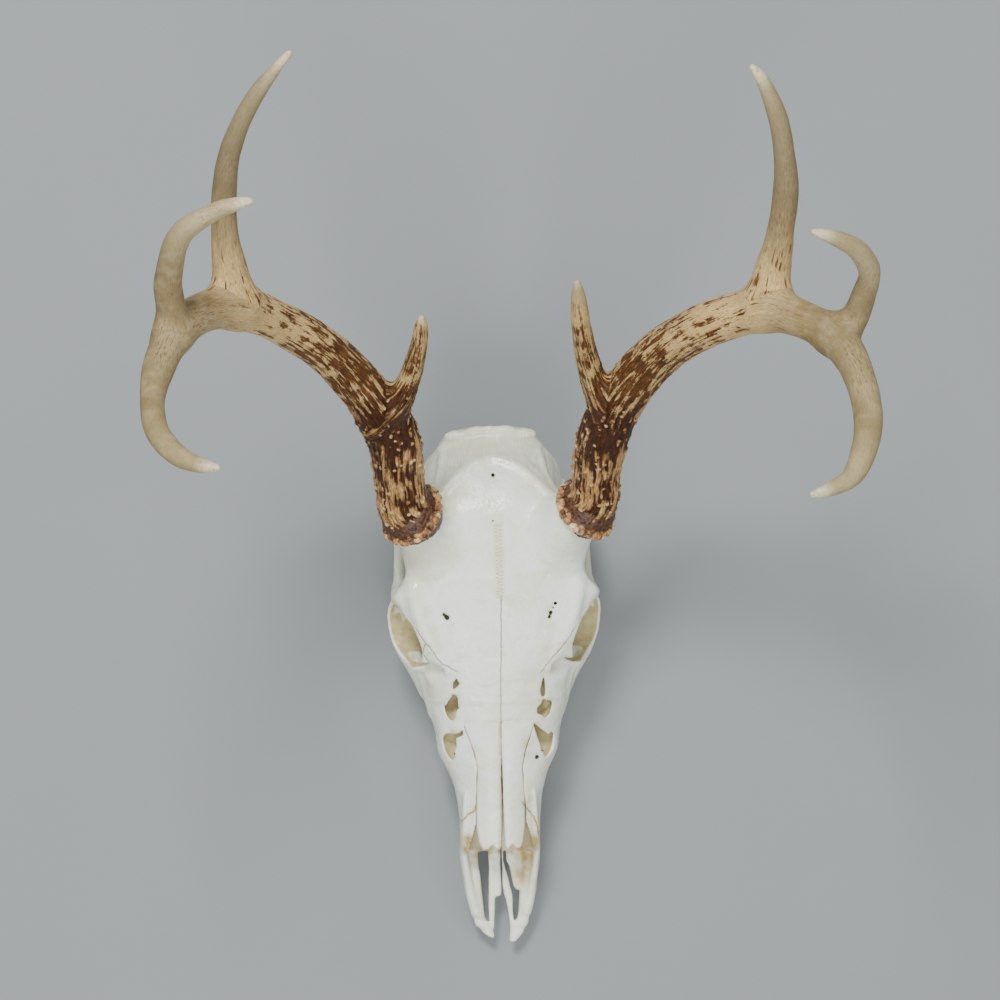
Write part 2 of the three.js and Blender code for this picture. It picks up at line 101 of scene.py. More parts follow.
FACE = [
    (-58.5, 0, 34, 81.5, 50, 31), (-68, 0, 40.5, 80, 46, 25), (-84, 0, 42, 79.5, 44, 20),
    (-100, 0, 41, 76.5, 42, 19), (-112, 0, 38.2, 72.5, 41, 19), (-124, 0, 34.5, 69, 40, 19.5),
    (-137, 0, 32, 65.5, 38, 20), (-150, 0, 26.5, 61.5, 37, 21), (-163, 0, 23.2, 57.5, 36, 21.5),
    (-178, 0, 21.8, 52.5, 34, 20.5), (-193, 0, 21.2, 47.5, 30, 18.6),
]
NASAL_CAVITY = [
    (-126, 0, 4, 50, 44, 38), (-140, 0, 12, 61.5, 44, 32), (-155, 0, 18.2, 58, 41, 27),
    (-170, 0, 18.6, 54.5, 38, 25), (-184, 0, 18.4, 52, 35, 23.4), (-200, 0, 18.2, 48, 31, 21.4),
]
ALVEOLAR_RIDGE = [
    (-76, 27.5, 5, 40, 24, 14), (-88, 28.2, 8.2, 42, 22, 10), (-104, 28.5, 8.8, 42, 22, 9),
    (-120, 26.8, 8, 40, 22, 9), (-140, 22.4, 6.4, 38, 22, 10), (-156, 19, 4.9, 36, 22, 12),
    (-168, 17.5, 3.4, 34, 24, 17),
]
SKULL_BASE = [
    (36, 0, 12, 50, 38, 27), (18, 0, 13, 50, 36, 25.5), (0, 0, 11, 50, 38, 28),
    (-25, 0, 9.5, 54, 42, 31.5), (-50, 0, 9, 58, 44, 35), (-78, 0, 10, 60, 46, 36),
]
PTERYGOID_WING = [
    (-32, 10.4, 1.8, 46, 36, 29), (-44, 11, 2, 48, 34, 23), (-58, 11.6, 2.2, 48, 30, 14),
    (-74, 12.6, 2.6, 48, 28, 12), (-88, 14, 4, 44, 28, 15),
]
CHEEK_ARCH = [
    (12, 31.5, 6, 52, 44, 38), (3, 41, 6.6, 51, 44.5, 39), (-12, 48.4, 4, 51, 45.5, 41),
    (-30, 50.4, 2.7, 51, 46.5, 41), (-45, 51, 3, 53, 46.5, 39.5), (-58, 52.4, 3.4, 52, 45.5, 36),
    (-70, 52.2, 4.2, 50, 44, 32), (-82, 47.8, 5.6, 50, 42, 29), (-94, 40.2, 6.4, 49, 40, 28),
    (-106, 34.2, 6.6, 46, 39, 28),
]
NOSE_WALL = [
    (-158, 18.6, 1.7, 54.5, 49, 42), (-170, 19.3, 1.8, 50.5, 43, 32), (-182, 19.9, 1.8, 44, 35, 24),
    (-194, 19.9, 2, 35.5, 28, 19.5), (-206, 18.4, 2.2, 28, 22, 16.5), (-216, 16.6, 2.4, 22.6, 18, 14),
    (-230, 13.8, 2.6, 17, 14.5, 11),
]
NOSE_SHELF = [
    (-186, 16.5, 4.4, 24, 21.5, 18.6), (-196, 17, 4.8, 24.6, 21.8, 18.2),
    (-208, 15.8, 4.4, 22.4, 18.8, 15.3), (-221, 14, 3.8, 18.9, 15.8, 12.6),
    (-230, 12.4, 3.4, 16.4, 13.8, 11), (-236, 10.3, 4.4, 15, 12.8, 10),
]
RIGHT_TIP = [
    (-234, -9.6, 4.2, 15.2, 12.8, 10.2), (-239, -7.6, 3.4, 14, 12.2, 9.8),
    (-243, -5, 1.5, 12.6, 11.4, 10.2),
]
LEFT_TIP = [
    (-234, 9.8, 4.4, 15.2, 12.8, 10.2), (-240.5, 8, 3.8, 13.8, 12, 9.6),
    (NOSE_TIP_Y + 0.3, 5.6, 1.8, 12.2, 11.2, 10),
]
# Flat plates of the premaxillae over the palate, from above, and their middle level along y.
RIGHT_PLATE = [
    (-6.3, -184), (0.1, -184), (0.2, -203), (0.2, -216), (-0.4, -218.6), (-3.2, -219), (-3.6, -222),
    (-3.8, -237), (-6.9, -238.5), (-7, -230), (-6.6, -218), (-6.4, -200),
]
LEFT_PLATE = [
    (0.9, -184), (0.9, -198), (1.1, -212), (1.7, -217), (3.1, -222), (3.9, -230), (4.4, -238.5),
    (8, -239.5),
    (7.1, -233), (6.3, -225.5), (6, -218), (5, -213.6), (4, -208), (2.8, -203), (1.9, -199),
    (1.9, -184),
]
LEFT_FLOOR = [
    (3.2, -184), (3.4, -199), (4.9, -202), (6.1, -208), (7, -213), (8.6, -215.6), (12.4, -215.4),
    (17, -211),
    (18.4, -195), (18, -184),
]
PLATE_LEVEL = ([-240, -218, -190, -184], [12.2, 17.4, 22, 22.6])
VOMER = [
    (-120, 0, 2, 50, 38, 28), (-150, 0, 1.3, 42, 32, 24), (-180, 0, 1, 30, 26, 22),
    (-192, 0, 0.9, 26, 24, 21),
]

# Outline of the left nasal bone from above: round its outer edge to the free tips and back.
NASAL_OUTER_EDGE = [
    (0.2, -91), (9, -94), (19.5, -101), (21.6, -110), (18.6, -122.6), (13.8, -135.9), (12.2, -144.8),
    (13.4, -168), (13.3, -178),
]
NASAL_TIPS = [
    (12, -186), (10.2, -190.2), (7.4, -189.6), (5.6, -187.4), (4.4, -188.8), (2.6, -190.4),
    (1.3, -188.6),
    (0.9, -176), (0.4, -160), (0.15, -130),
]
NASAL_THICKNESS = 2.5
NASAL_LEAN = 0.9                 # how far their joint lies off the middle
NASAL_ARCH = 0.9
NASAL_ROOM = ((-4, -197, 36), (27, -85, 90))

# Hollows of the nose and face behind its openings: middle and radii.
BACK_CHAMBER = ((23.4, -106, 61.5), (6, 13, 5.5))
FRONT_CHAMBER = ((24, -130, 53), (5.6, 10, 5.5))

# Right half of the nose's front, from above.
NOSE_MOUTH = [(0, -176), (13.6, -176), (15.4, -182), (17.4, -190), (18.2, -200), (0, -200)]

# Foramina of the brow: x, y, radius.
BROW_FORAMINA = [
    (-28.2, -60.2, 1.0), (-26.6, -61.9, 1.5), (31.4, -56.2, 1.1), (30.2, -58.4, 0.7),
    (28.8, -61, 1.2), (28, -63.4, 1.1),
]

# Openings through the face into the hollows behind it, from above.
VACUITIES = [
    [(-22.4, -94.9), (-20.5, -98), (-21.6, -99.7), (-23.2, -100.8), (-24.5, -101.3), (-24.5, -97.9)],
    [(-24.6, -103.4), (-22.3, -104.4), (-21.7, -106.2), (-21.7, -109.6), (-21.1, -111), (-23.1, -113),
     (-24.8, -114.4), (-27.1, -111.7), (-27, -107.5), (-25.6, -105.4)],
    [(-28.3, -126.2), (-26.1, -125.8), (-24.4, -126.1), (-21.1, -125.4), (-20, -123.7),
     (-19.5, -126.1),
     (-23.5, -127.5), (-23.6, -133), (-25.9, -135.9), (-28.2, -136), (-29.4, -132.6),
     (-29.3, -127.7)],
    [(24.5, -96.3), (25.3, -103.1), (24.9, -106.4), (23.2, -106.4), (22.6, -103)],
    [(24.3, -108), (27.4, -111), (27.3, -116.2), (24.2, -116), (20.8, -115.7), (21.3, -112.3),
     (23.4, -110.7)],
    [(18.9, -121.3), (22.4, -124.4), (25.9, -127.4), (25.4, -135.1), (23.4, -136.7), (22.2, -132.1),
     (20.6, -127.8)],
]

# Routes of the antlers from root to tip: x, y, z, radius.
RIGHT_BEAM = [
    (-42.8, -7.4, 103.6, 14.8), (-48.2, -0.6, 112.4, 12.8), (-50.2, 13.5, 125.5, 12.2),
    (-53, 35, 146, 13.2),
    (-66, 56, 172, 11.8), (-86, 77, 203, 10), (-107, 90, 231, 10.3), (-127, 97, 260, 10.6),
    (-145, 94, 281, 9.4), (-158, 82, 297, 8.4), (-165, 64, 314, 7.1), (-167, 50, 328, 6.4),
    (-164, 36, 340, 6.1), (-154.5, 25.4, 352, 5), (-144, 20.6, 360.5, 3.6),
    (-136.6, 19.2, 365.6, 1.7),
]
RIGHT_BROW_TINE = [
    (-60, 45, 159, 9), (-50, 53, 168, 7.4), (-43.5, 65, 180, 5.4), (-39.5, 78, 195, 4.2),
    (-38.2, 87.5, 206, 3.5), (-38, 92, 211, 1.7),
]
RIGHT_SECOND_TINE = [
    (-128, 99, 262, 9.8), (-130, 110, 269, 9), (-132, 130, 283, 7), (-131, 150, 299, 6.1),
    (-126, 171, 316, 5.1), (-114, 192, 330, 3.8), (-98, 210, 336.6, 1.6),
]
RIGHT_THIRD_TINE = [
    (-158.5, 83, 296, 8), (-158, 95, 303, 7), (-158, 109, 317, 6.5), (-151, 127, 338, 5.6),
    (-135, 136, 352, 4.2), (-124, 139, 358.5, 3.2), (-117.6, 140, 361.7, 1.7),
]
LEFT_BEAM = [
    (47, -7.2, 103.6, 14.6), (52, -0.4, 112.4, 12.4), (53, 13.5, 126, 11.9), (55.4, 31, 144, 13),
    (64, 51, 172, 11.8), (81, 71, 206, 10.9), (102, 83, 242, 11.2), (126, 88, 270, 11),
    (142, 82, 288, 9.4), (155, 73, 301, 8.8), (162, 60, 316, 7.9), (165, 42, 333, 7.1),
    (163, 24, 347, 6.3), (154.5, 6.6, 357.5, 5), (143, 0.4, 363.8, 3.6), (134.6, -1.8, 367.6, 1.7),
]
LEFT_BROW_TINE = [
    (61, 45, 161, 9), (53, 52, 169, 7.6), (46, 69, 187, 5.8), (42, 85, 206, 4.7),
    (40, 98.5, 221, 3.8),
    (39.1, 106.2, 229.2, 1.7),
]
LEFT_SECOND_TINE = [
    (127.5, 90, 270, 10.2), (130, 104, 276, 9.2), (133, 122, 289, 6.9), (134, 146, 308, 5.7),
    (130, 171, 326, 4.6), (122, 190, 336, 3.3), (116.5, 197.2, 338.7, 1.6),
]
LEFT_THIRD_TINE = [
    (156, 73, 300, 8.6), (165, 81, 303, 6.8), (169, 93, 315, 6), (170, 101, 327, 5.5),
    (162, 111, 341, 4.7), (151, 116, 350, 3.7), (140.6, 118.8, 355.2, 1.7),
]
BURR_TOP = 0.66
# The dark patch under the first fork: place along the beam, height above it, inner and outer reach,
# how much younger the antler looks there and how much lower.
FORK_SHADE = 3.35
SHADE_RISE = (0, 0, 8)
SHADE_REACH = (28, 6)
SHADE_AGE = 34
SHADE_DEPTH = 0.18
# Age of the beam, brow, second and third tine at their roots, and how fast each ages with length.
LIMB_AGES = (0, 38, 185, 230)
LIMB_SPEEDS = (1, 2.2, 1, 1)
BURR_SWELL = [(0, 0.98), (0.12, 1.17), (0.3, 1.24), (0.46, 1.16), (0.6, 1)]

CHEEK_TEETH = [(11, 9), (11.5, 10.5), (11, 12.5), (13.5, 14), (14.5, 15), (14.5, 14)]
TEETH_FRONT_Y = -157.0
PREMOLARS = 3

# ---------------------------------------------------------------- the skull's place in the frame

def skull_shift():
    """Where the skull's own origin lies in the frame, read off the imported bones."""
    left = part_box("nasal_bone_left")
    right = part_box("nasal_bone_right")
    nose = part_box("premaxilla_left")
    x = (left[0][0] + right[1][0]) / 2 / MM
    y = nose[0][1] / MM - NOSE_TIP_Y
    return np.array([x, y, 0.0])


SHIFT = skull_shift()

# ---------------------------------------------------------------- curves and noise

def row_at(rows, place):
    """A smooth curve through the rows, read at a place counted in rows."""
    last = len(rows) - 1
    i = min(int(place), last - 1)
    f = place - i
    here = np.array(rows[i], float)
    after = np.array(rows[i + 1], float)
    slope_in = (after - np.array(rows[max(i - 1, 0)], float)) / 2
    slope_out = (np.array(rows[min(i + 2, last)], float) - here) / 2
    bend = 2 * here - 2 * after + slope_in + slope_out
    lean = 3 * after - 3 * here - 2 * slope_in - slope_out
    return ((bend * f + lean) * f + slope_in) * f + here


def samples(rows, start=0.0, end=None, step=0.05):
    end = len(rows) - 1 if end is None else end
    places = np.linspace(start, end, max(int((end - start) / step), 2))
    return np.array([row_at(rows, p) for p in places])


def lattice(cell, seed):
    """A repeatable random number from 0 to 1 for each whole-numbered cell."""
    n = cell[..., 0] * 374761393 + cell[..., 1] * 668265263
    n = n + cell[..., 2] * 2147483647 + seed * 974634777
    n = (n ^ (n >> 13)) * 1274126177
    n = n ^ (n >> 16)
    return (n & 0xFFFF).astype(np.float32) / 65535.0


def corners(f):
    """The eight corners of a cell, each with its weight for places f within the cell."""
    for dx, dy, dz in product((0, 1), repeat=3):
        weight = (f[:, 0] if dx else 1 - f[:, 0]) * (f[:, 1] if dy else 1 - f[:, 1])
        yield (dx, dy, dz), weight * (f[:, 2] if dz else 1 - f[:, 2])


def noise(points, seed=0):
    """Smooth noise from -1 to 1 at N points."""
    base = np.floor(points).astype(np.int64)
    f = (points - base).astype(np.float32)
    f = f * f * (3 - 2 * f)
    total = np.zeros(len(points), np.float32)
    for corner, weight in corners(f):
        total += weight * lattice(base + np.array(corner), seed)
    return total * 2 - 1


def pebbles(points, seed=0):
    """Distance to the nearest of the scattered points, one to a cell, and that point's number."""
    base = np.floor(points).astype(np.int64)
    best = np.full(len(points), 9.0, np.float32)
    which = np.zeros(len(points), np.float32)
    for step in product((-1, 0, 1), repeat=3):
        cell = base + np.array(step)
        spot = np.stack([lattice(cell, seed + k) for k in (1, 2, 3)], axis=1)
        away = np.linalg.norm(points - cell - spot, axis=1)
        nearer = away < best
        best = np.where(nearer, away, best)
        which = np.where(nearer, lattice(cell, seed + 7), which)
    return best, which


def smooth_step(low, high, value):
    t = np.clip((value - low) / (high - low), 0, 1)
    return t * t * (3 - 2 * t)

# ---------------------------------------------------------------- clay

class Clay:
    """A distance field in millimetres on a regular grid, negative inside."""

    def __init__(self, low, high, pitch):
        self.low = np.array(low, float)
        self.pitch = pitch
        self.count = (np.ceil((np.array(high, float) - self.low) / pitch)).astype(int) + 1
        self.field = np.full(tuple(self.count), REACH, np.float32)

    def window(self, low, high):
        first = np.floor((np.array(low, float) - REACH - self.low) / self.pitch).astype(int)
        last = np.ceil((np.array(high, float) + REACH - self.low) / self.pitch).astype(int) + 1
        first = np.clip(first, 0, self.count)
        last = np.clip(last, 0, self.count)
        part = tuple(slice(a, b) for a, b in zip(first, last))
        axes = [self.low[i] + self.pitch * np.arange(first[i], last[i]) for i in range(3)]
        x = axes[0].astype(np.float32)[:, None, None]
        y = axes[1].astype(np.float32)[None, :, None]
        z = axes[2].astype(np.float32)[None, None, :]
        return part, x, y, z

    def add(self, shape, blend=1.5):
        low, high, distance = shape
        part, x, y, z = self.window(low, high)
        if min(self.field[part].shape) > 0:
            self.field[part] = soft_min(self.field[part], distance(x, y, z), blend)

    def cut(self, shape, blend=1.0, guard=None):
        """Carves a shape out; where a guard field is given, only where the guard allows it."""
        low, high, distance = shape
        part, x, y, z = self.window(low, high)
        if min(self.field[part].shape) > 0:
            tool = distance(x, y, z)
            if guard is not None:
                tool = soft_max(tool, guard[part], blend)
            self.field[part] = -soft_min(-self.field[part], tool, blend)

    def at(self, points):
        spot = np.clip((points - self.low) / self.pitch, 0, np.array(self.count) - 1.001)
        cell = spot.astype(int)
        f = spot - cell
        total = np.zeros(len(points))
        for (dx, dy, dz), weight in corners(f):
            total += weight * self.field[cell[:, 0] + dx, cell[:, 1] + dy, cell[:, 2] + dz]
        return total

    def surface(self):
        """Vertices in millimetres and quads of the surface at distance 0."""
        grid = openvdb.FloatGrid(REACH)
        field = np.clip(self.field, -REACH, REACH)
        field[0], field[-1] = REACH, REACH
        field[:, 0], field[:, -1] = REACH, REACH
        field[:, :, 0], field[:, :, -1] = REACH, REACH
        grid.copyFromArray(field)
        points, quads = grid.convertToQuads(0.0)
        points = points.astype(np.float64) * self.pitch + self.low
        a, b, c, d = (points[quads[:, i]] for i in range(4))
        if (np.cross(c - a, d - b) * (a + b + c + d)).sum() < 0:
            quads = quads[:, ::-1]
        return points, quads.astype(np.int64)


def soft_min(a, b, blend):
    if np.max(blend) <= 0:
        return np.minimum(a, b)
    h = np.clip(0.5 + 0.5 * (a - b) / blend, 0, 1)
    return a * (1 - h) + b * h - blend * h * (1 - h)


def soft_max(a, b, blend):
    return -soft_min(-a, -b, blend)


def turned(facing):
    """Axes of a frame whose third axis points along facing and whose second leans to +Z."""
    w = np.array(facing, float)
    w /= np.linalg.norm(w)
    up = np.array([0, 0, 1.0]) if abs(w[2]) < 0.95 else np.array([0, 1.0, 0])
    u = np.cross(up, w)
    u /= np.linalg.norm(u)
    return u, np.cross(w, u), w


def along_axis(axis, centre, x, y, z):
    return axis[0] * (x - centre[0]) + axis[1] * (y - centre[1]) + axis[2] * (z - centre[2])


def around(centre, reach):
    """Two corners of a box that reaches so far from its middle."""
    return np.array(centre, float) - reach, np.array(centre, float) + reach


def limb_box(line, room=0.0):
    """Two corners of a box round a line's points with their radii, and some room."""
    radius = line[:, 3:4]
    return (line[:, :3] - radius).min(axis=0) - room, (line[:, :3] + radius).max(axis=0) + room


def egg(centre, radii, facing=(0, 0, 1)):
    """An ellipsoid whose third radius points along facing."""
    axes = turned(facing)

    def distance(x, y, z):
        k0 = 0
        k1 = 0
        for axis, radius in zip(axes, radii):
            q = along_axis(axis, centre, x, y, z) / radius
            k0 = k0 + q * q
            k1 = k1 + (q / radius) ** 2
        k0 = np.sqrt(k0)
        return (k0 * (k0 - 1) / np.sqrt(k1 + 1e-9)).astype(np.float32)

    return (*around(centre, max(radii)), distance)


def block(centre, half, rounding):
    """A box with rounded edges."""

    def distance(x, y, z):
        q = [abs(v - c) - h + rounding for v, c, h in zip((x, y, z), centre, half)]
        out = np.sqrt(sum(np.maximum(v, 0) ** 2 for v in q))
        deepest = np.maximum(np.maximum(q[0], q[1]), q[2])
        return (out + np.minimum(deepest, 0) - rounding).astype(np.float32)

    return (*around(centre, np.array(half, float)), distance)


def loft(rows, fullness=2.2):
    """A bone whose cross-sections stand across the skull's length."""
    dense = samples(rows)
    dense = dense[np.argsort(dense[:, 0])]
    ys = dense[:, 0]

    def distance(x, y, z):
        yy = np.clip(y[0, :, 0], ys[0], ys[-1])
        middle, half, top, widest, bottom = [
            np.interp(yy, ys, dense[:, c])[None, :, None].astype(np.float32) for c in range(1, 6)
        ]
        dx = np.abs(x - middle)
        dz = z - widest
        height = np.where(dz > 0, top - widest, widest - bottom)
        dz = np.abs(dz)
        p = (dx / half) ** fullness
        q = (dz / height) ** fullness
        size = (p + q) ** (1 / fullness) + 1e-4
        slope = size ** (1 - fullness) * np.hypot(
            (dx / half) ** (fullness - 1) / half, (dz / height) ** (fullness - 1) / height
        )
        side = (size - 1) / np.maximum(slope, 1 / np.maximum(half, height))
        ends = np.maximum(ys[0] - y, y - ys[-1])
        return soft_max(side, ends, 2.0).astype(np.float32)

    low = [float((dense[:, 1] - dense[:, 2]).min()), ys[0], float(dense[:, 5].min())]
    high = [float((dense[:, 1] + dense[:, 2]).max()), ys[-1], float(dense[:, 3].max())]
    return low, high, distance


def rope(rows, start=0.0, end=None, step=0.08):
    """A limb with round sections along its rows."""
    line = samples([r[:4] for r in rows], start, end, step)

    def distance(x, y, z):
        best = np.full(np.broadcast_shapes(x.shape, y.shape, z.shape), REACH, np.float32)
        xs, ys, zs = x[:, 0, 0], y[0, :, 0], z[0, 0, :]
        for a, b in zip(line[:-1], line[1:]):
            near = []
            for axis, values in enumerate((xs, ys, zs)):
                reach = max(a[3], b[3]) + REACH
                near.append(slice(
                    int(np.searchsorted(values, min(a[axis], b[axis]) - reach)),
                    int(np.searchsorted(values, max(a[axis], b[axis]) + reach)),
                ))
            near = tuple(near)
            if any(s.stop <= s.start for s in near):
                continue
            px = xs[near[0]][:, None, None] - np.float32(a[0])
            py = ys[near[1]][None, :, None] - np.float32(a[1])
            pz = zs[near[2]][None, None, :] - np.float32(a[2])
            way = (b - a)[:3].astype(np.float32)
            length = float(way @ way) + 1e-9
            t = np.clip((px * way[0] + py * way[1] + pz * way[2]) / length, 0, 1)
            away = (px - t * way[0]) ** 2 + (py - t * way[1]) ** 2 + (pz - t * way[2]) ** 2
            local = np.sqrt(away) - (a[3] + t * np.float32(b[3] - a[3]))
            best[near] = np.minimum(best[near], local)
        return best

    return (*limb_box(line), distance)


def hoop(centre, facing, radius, thickness, tall=1.0):
    """A ring round an axis that points along facing."""
    u, v, w = turned(facing)

    def distance(x, y, z):
        a = along_axis(u, centre, x, y, z)
        b = along_axis(v, centre, x, y, z)
        c = along_axis(w, centre, x, y, z) / tall
        return (np.hypot(np.hypot(a, b) - radius, c) - thickness).astype(np.float32)

    return (*around(centre, radius + thickness), distance)


def plan_distance(outline, x, y):
    """Signed distance in plan to a closed outline, negative inside."""
    best = np.full(np.broadcast_shapes(x.shape, y.shape), 1e9, np.float32)
    inside = np.zeros(best.shape, bool)
    for (ax, ay), (bx, by) in zip(outline, outline[1:] + outline[:1]):
        ex, ey = bx - ax, by - ay
        t = np.clip(((x - ax) * ex + (y - ay) * ey) / (ex * ex + ey * ey), 0, 1)
        best = np.minimum(best, (x - ax - t * ex) ** 2 + (y - ay - t * ey) ** 2)
        crosses = (ay > y) != (by > y)
        if abs(ey) > 1e-9:
            inside ^= crosses & (x < ax + (y - ay) * ex / ey)
    best = np.sqrt(best)
    return np.where(inside, -best, best)


def prism(outline, low_z, high_z, grow=0.0, soft=0.5):
    """An upright block with the given outline in plan, grown sideways by a size or a rule of y."""
    middle, half = (low_z + high_z) / 2, (high_z - low_z) / 2

    def distance(x, y, z):
        side = plan_distance(outline, x[:, :, 0], y[:, :, 0])[:, :, None]
        side = side - (grow(y) if callable(grow) else grow)
        return soft_max(side, np.abs(z - middle) - half, soft).astype(np.float32)

    xs = [p[0] for p in outline]
    ys = [p[1] for p in outline]
    return [min(xs), min(ys), low_z], [max(xs), max(ys), high_z], distance


def plate(outline, levels, half, soft=1.0):
    """A sheet with the given outline in plan, whose middle rises along y as levels give it."""
    flat = prism(outline, min(levels[1]) - half, max(levels[1]) + half)

    def distance(x, y, z):
        side = plan_distance(outline, x[:, :, 0], y[:, :, 0])[:, :, None]
        middle = np.interp(y[0, :, 0], *levels).astype(np.float32)[None, :, None]
        return soft_max(side, np.abs(z - middle) - half, soft).astype(np.float32)

    return flat[0], flat[1], distance


def below(level):
    def distance(x, y, z):
        return (z - level + 0 * x + 0 * y).astype(np.float32)
    return [-400, -400, -400], [400, 400, level], distance


def flipped(shape):
    low, high, distance = shape
    return [-high[0], low[1], low[2]], [-low[0], high[1], high[2]], lambda x, y, z: distance(-x, y, z)

# ---------------------------------------------------------------- the skull's field

def face_and_forehead(clay):
    clay.add(loft(FACE, 2.3), 3)
    clay.add(loft(FOREHEAD, 2.5), 5)


def skull_halves(clay):
    """The outer form, with what lies at one side only given for the left side."""
    clay.add(loft(BRAINCASE, 2.3), 0)
    clay.add(loft(SKULL_BASE), 3)
    face_and_forehead(clay)
    clay.add(loft(ALVEOLAR_RIDGE), 3)
    clay.add(loft(PTERYGOID_WING), 2)
    clay.add(loft(CHEEK_ARCH), 3)
    clay.add(hoop(ORBIT_CENTRE, ORBIT_FACING, ORBIT_RADIUS, ORBIT_RIM, 1.3), 2.5)
    clay.add(rope([(52.4, -51, 74, 3), (53.2, -49.5, 62, 2.8), (52, -46.5, 50, 3)]), 3)
    clay.add(rope([(33, -21.5, 85, 16), (38.2, -14.8, 94.4, 15), (43.2, -8.2, 102.8, 13.8)]), 9)
    clay.add(egg((12, 29.5, 38), (8.6, 10, 11.5)), 2)
    clay.add(egg((20, 1, 28), (7.5, 12, 8)), 1.5)
    clay.add(egg((30.5, 9, 52), (8, 11, 12)), 4)
    clay.add(egg((43.5, -71.5, 42), (8.5, 14, 10)), 3)
    clay.add(rope([(27.5, 17, 54, 8), (26.4, 19, 36, 7.6), (25.6, 20.6, 20, 5.2), (25, 21, 8, 3.6),
                   (24.5, 20.5, -2, 2.8)]), 3)
    # the crest round the back of the head
    clay.add(rope([(34, 14, 46, 3), (30.4, 21, 58, 2.6), (23.8, 31, 69, 2.2), (20, 34.6, 72.5, 2.2),
                   (14.5, 35.8, 74, 1.7), (9, 37.4, 75.2, 2.3), (3, 37.8, 75.8, 1.8),
                   (0, 38, 76.2, 2)]), 2.5)
    clay.add(egg((19.4, 35.2, 72.5), (5.4, 2.4, 3)), 2)
    # lines where the chewing muscles end, from the crown out to the pedicles
    clay.add(rope([(0, 22.5, 84.6, 1.2), (6, 21, 85.6, 1.3), (14, 17, 86.4, 1.3), (22, 10.5, 88.4, 1),
                   (29, 3, 89, 1.2), (36, -4, 88.6, 1.8)]), 4)
    clay.add(rope([(25, 28.6, 66, 1.4), (26.5, 22, 74, 1.5), (29, 12, 80, 1.5), (34, 2, 84, 1.6)]), 3)
    # brow ridge, tear ridge and cheek ridge
    clay.add(rope([(44, -47, 86, 3), (41.5, -58, 86, 3.4), (37.5, -70, 83, 3.2), (33, -80, 79, 2.4),
                   (28, -90, 75.5, 1.2)]), 5)
    clay.add(rope([(45.5, -84, 62, 2.2), (41.5, -91, 57, 2.2), (37, -102, 50, 2),
                   (34.5, -114, 44, 1.4)]), 5)
    clay.add(egg((36.8, -84.8, 73), (1.8, 2.6, 1.6)), 1.5)
    clay.cut(below(0), 0)


def skull_holes(clay):
    """The hollows that are alike on both sides."""
    clay.cut(egg(ORBIT_CENTRE, ORBIT_HOLLOW, ORBIT_FACING), 1.0)
    clay.cut(loft(NASAL_CAVITY), 0.6)
    clay.cut(prism(NOSE_MOUTH, 36, 70), 0.6)
    clay.cut(egg((0, -122, 4), (17.5, 52, 16.5)), 3)
    clay.cut(egg((0, 40, 44), (8.5, 16, 9)), 2)
    clay.cut(egg((0, -70, 24), (9.5, 24, 11)), 2)
    clay.cut(egg((36, -91, 71.5), (6, 9, 3.6), (0.55, -0.25, 0.8)), 3)
    # hollows behind the openings of the face
    clay.cut(egg(*BACK_CHAMBER), 1.5)
    clay.cut(egg(*FRONT_CHAMBER), 1.5)
    # brow foramen in its groove, cheek foramen, ear and the foramina of the base
    clay.cut(rope([(31, -52, 92.6, 1), (28.6, -58, 91.2, 1.5), (26.6, -63, 89.6, 1.5),
                   (23.4, -70, 88.2, 1)]), 1.8)
    clay.cut(rope([(24, -138, 47, 1.9), (20, -147, 43, 1.6)]), 0.6)
    clay.cut(rope([(44, 4, 40, 2.6), (30, 2, 41, 2.2)]), 1)
    clay.cut(rope([(13, -14, 26, 2), (15, -12, 40, 2)]), 1)
    clay.cut(rope([(14, 16, 22, 1.8), (15, 17, 36, 1.8)]), 1)
    clay.cut(rope([(9, -100, 12, 1.4), (9, -104, 26, 1.4)]), 0.6)
    clay.cut(egg((46, -30, 62), (9, 15, 12)), 4)


def stained_hollows():
    """Only the hollows whose walls are stained."""
    half = Clay((0, -206, 20), (66, -40, 92), 1.2)
    half.add(egg(ORBIT_CENTRE, ORBIT_HOLLOW, ORBIT_FACING), 0)
    half.add(loft(NASAL_CAVITY), 0)
    half.add(egg(*BACK_CHAMBER), 0)
    half.add(egg(*FRONT_CHAMBER), 0)
    return whole(half)


def whole(clay):
    """Both halves from the left one, whose first plane is the middle of the skull."""
    pair = Clay((0, 0, 0), (1, 1, 1), clay.pitch)
    pair.field = np.concatenate([clay.field[:0:-1], clay.field], axis=0)
    pair.count = np.array(pair.field.shape)
    pair.low = clay.low.copy()
    pair.low[0] = -clay.pitch * (len(clay.field) - 1)
    return pair


def nasal_joint(y):
    """Width of the joint round the nasal bones: shut at the back, open along the snout."""
    return np.interp(y, [-128, -116], [0.14, -0.5]).astype(np.float32)


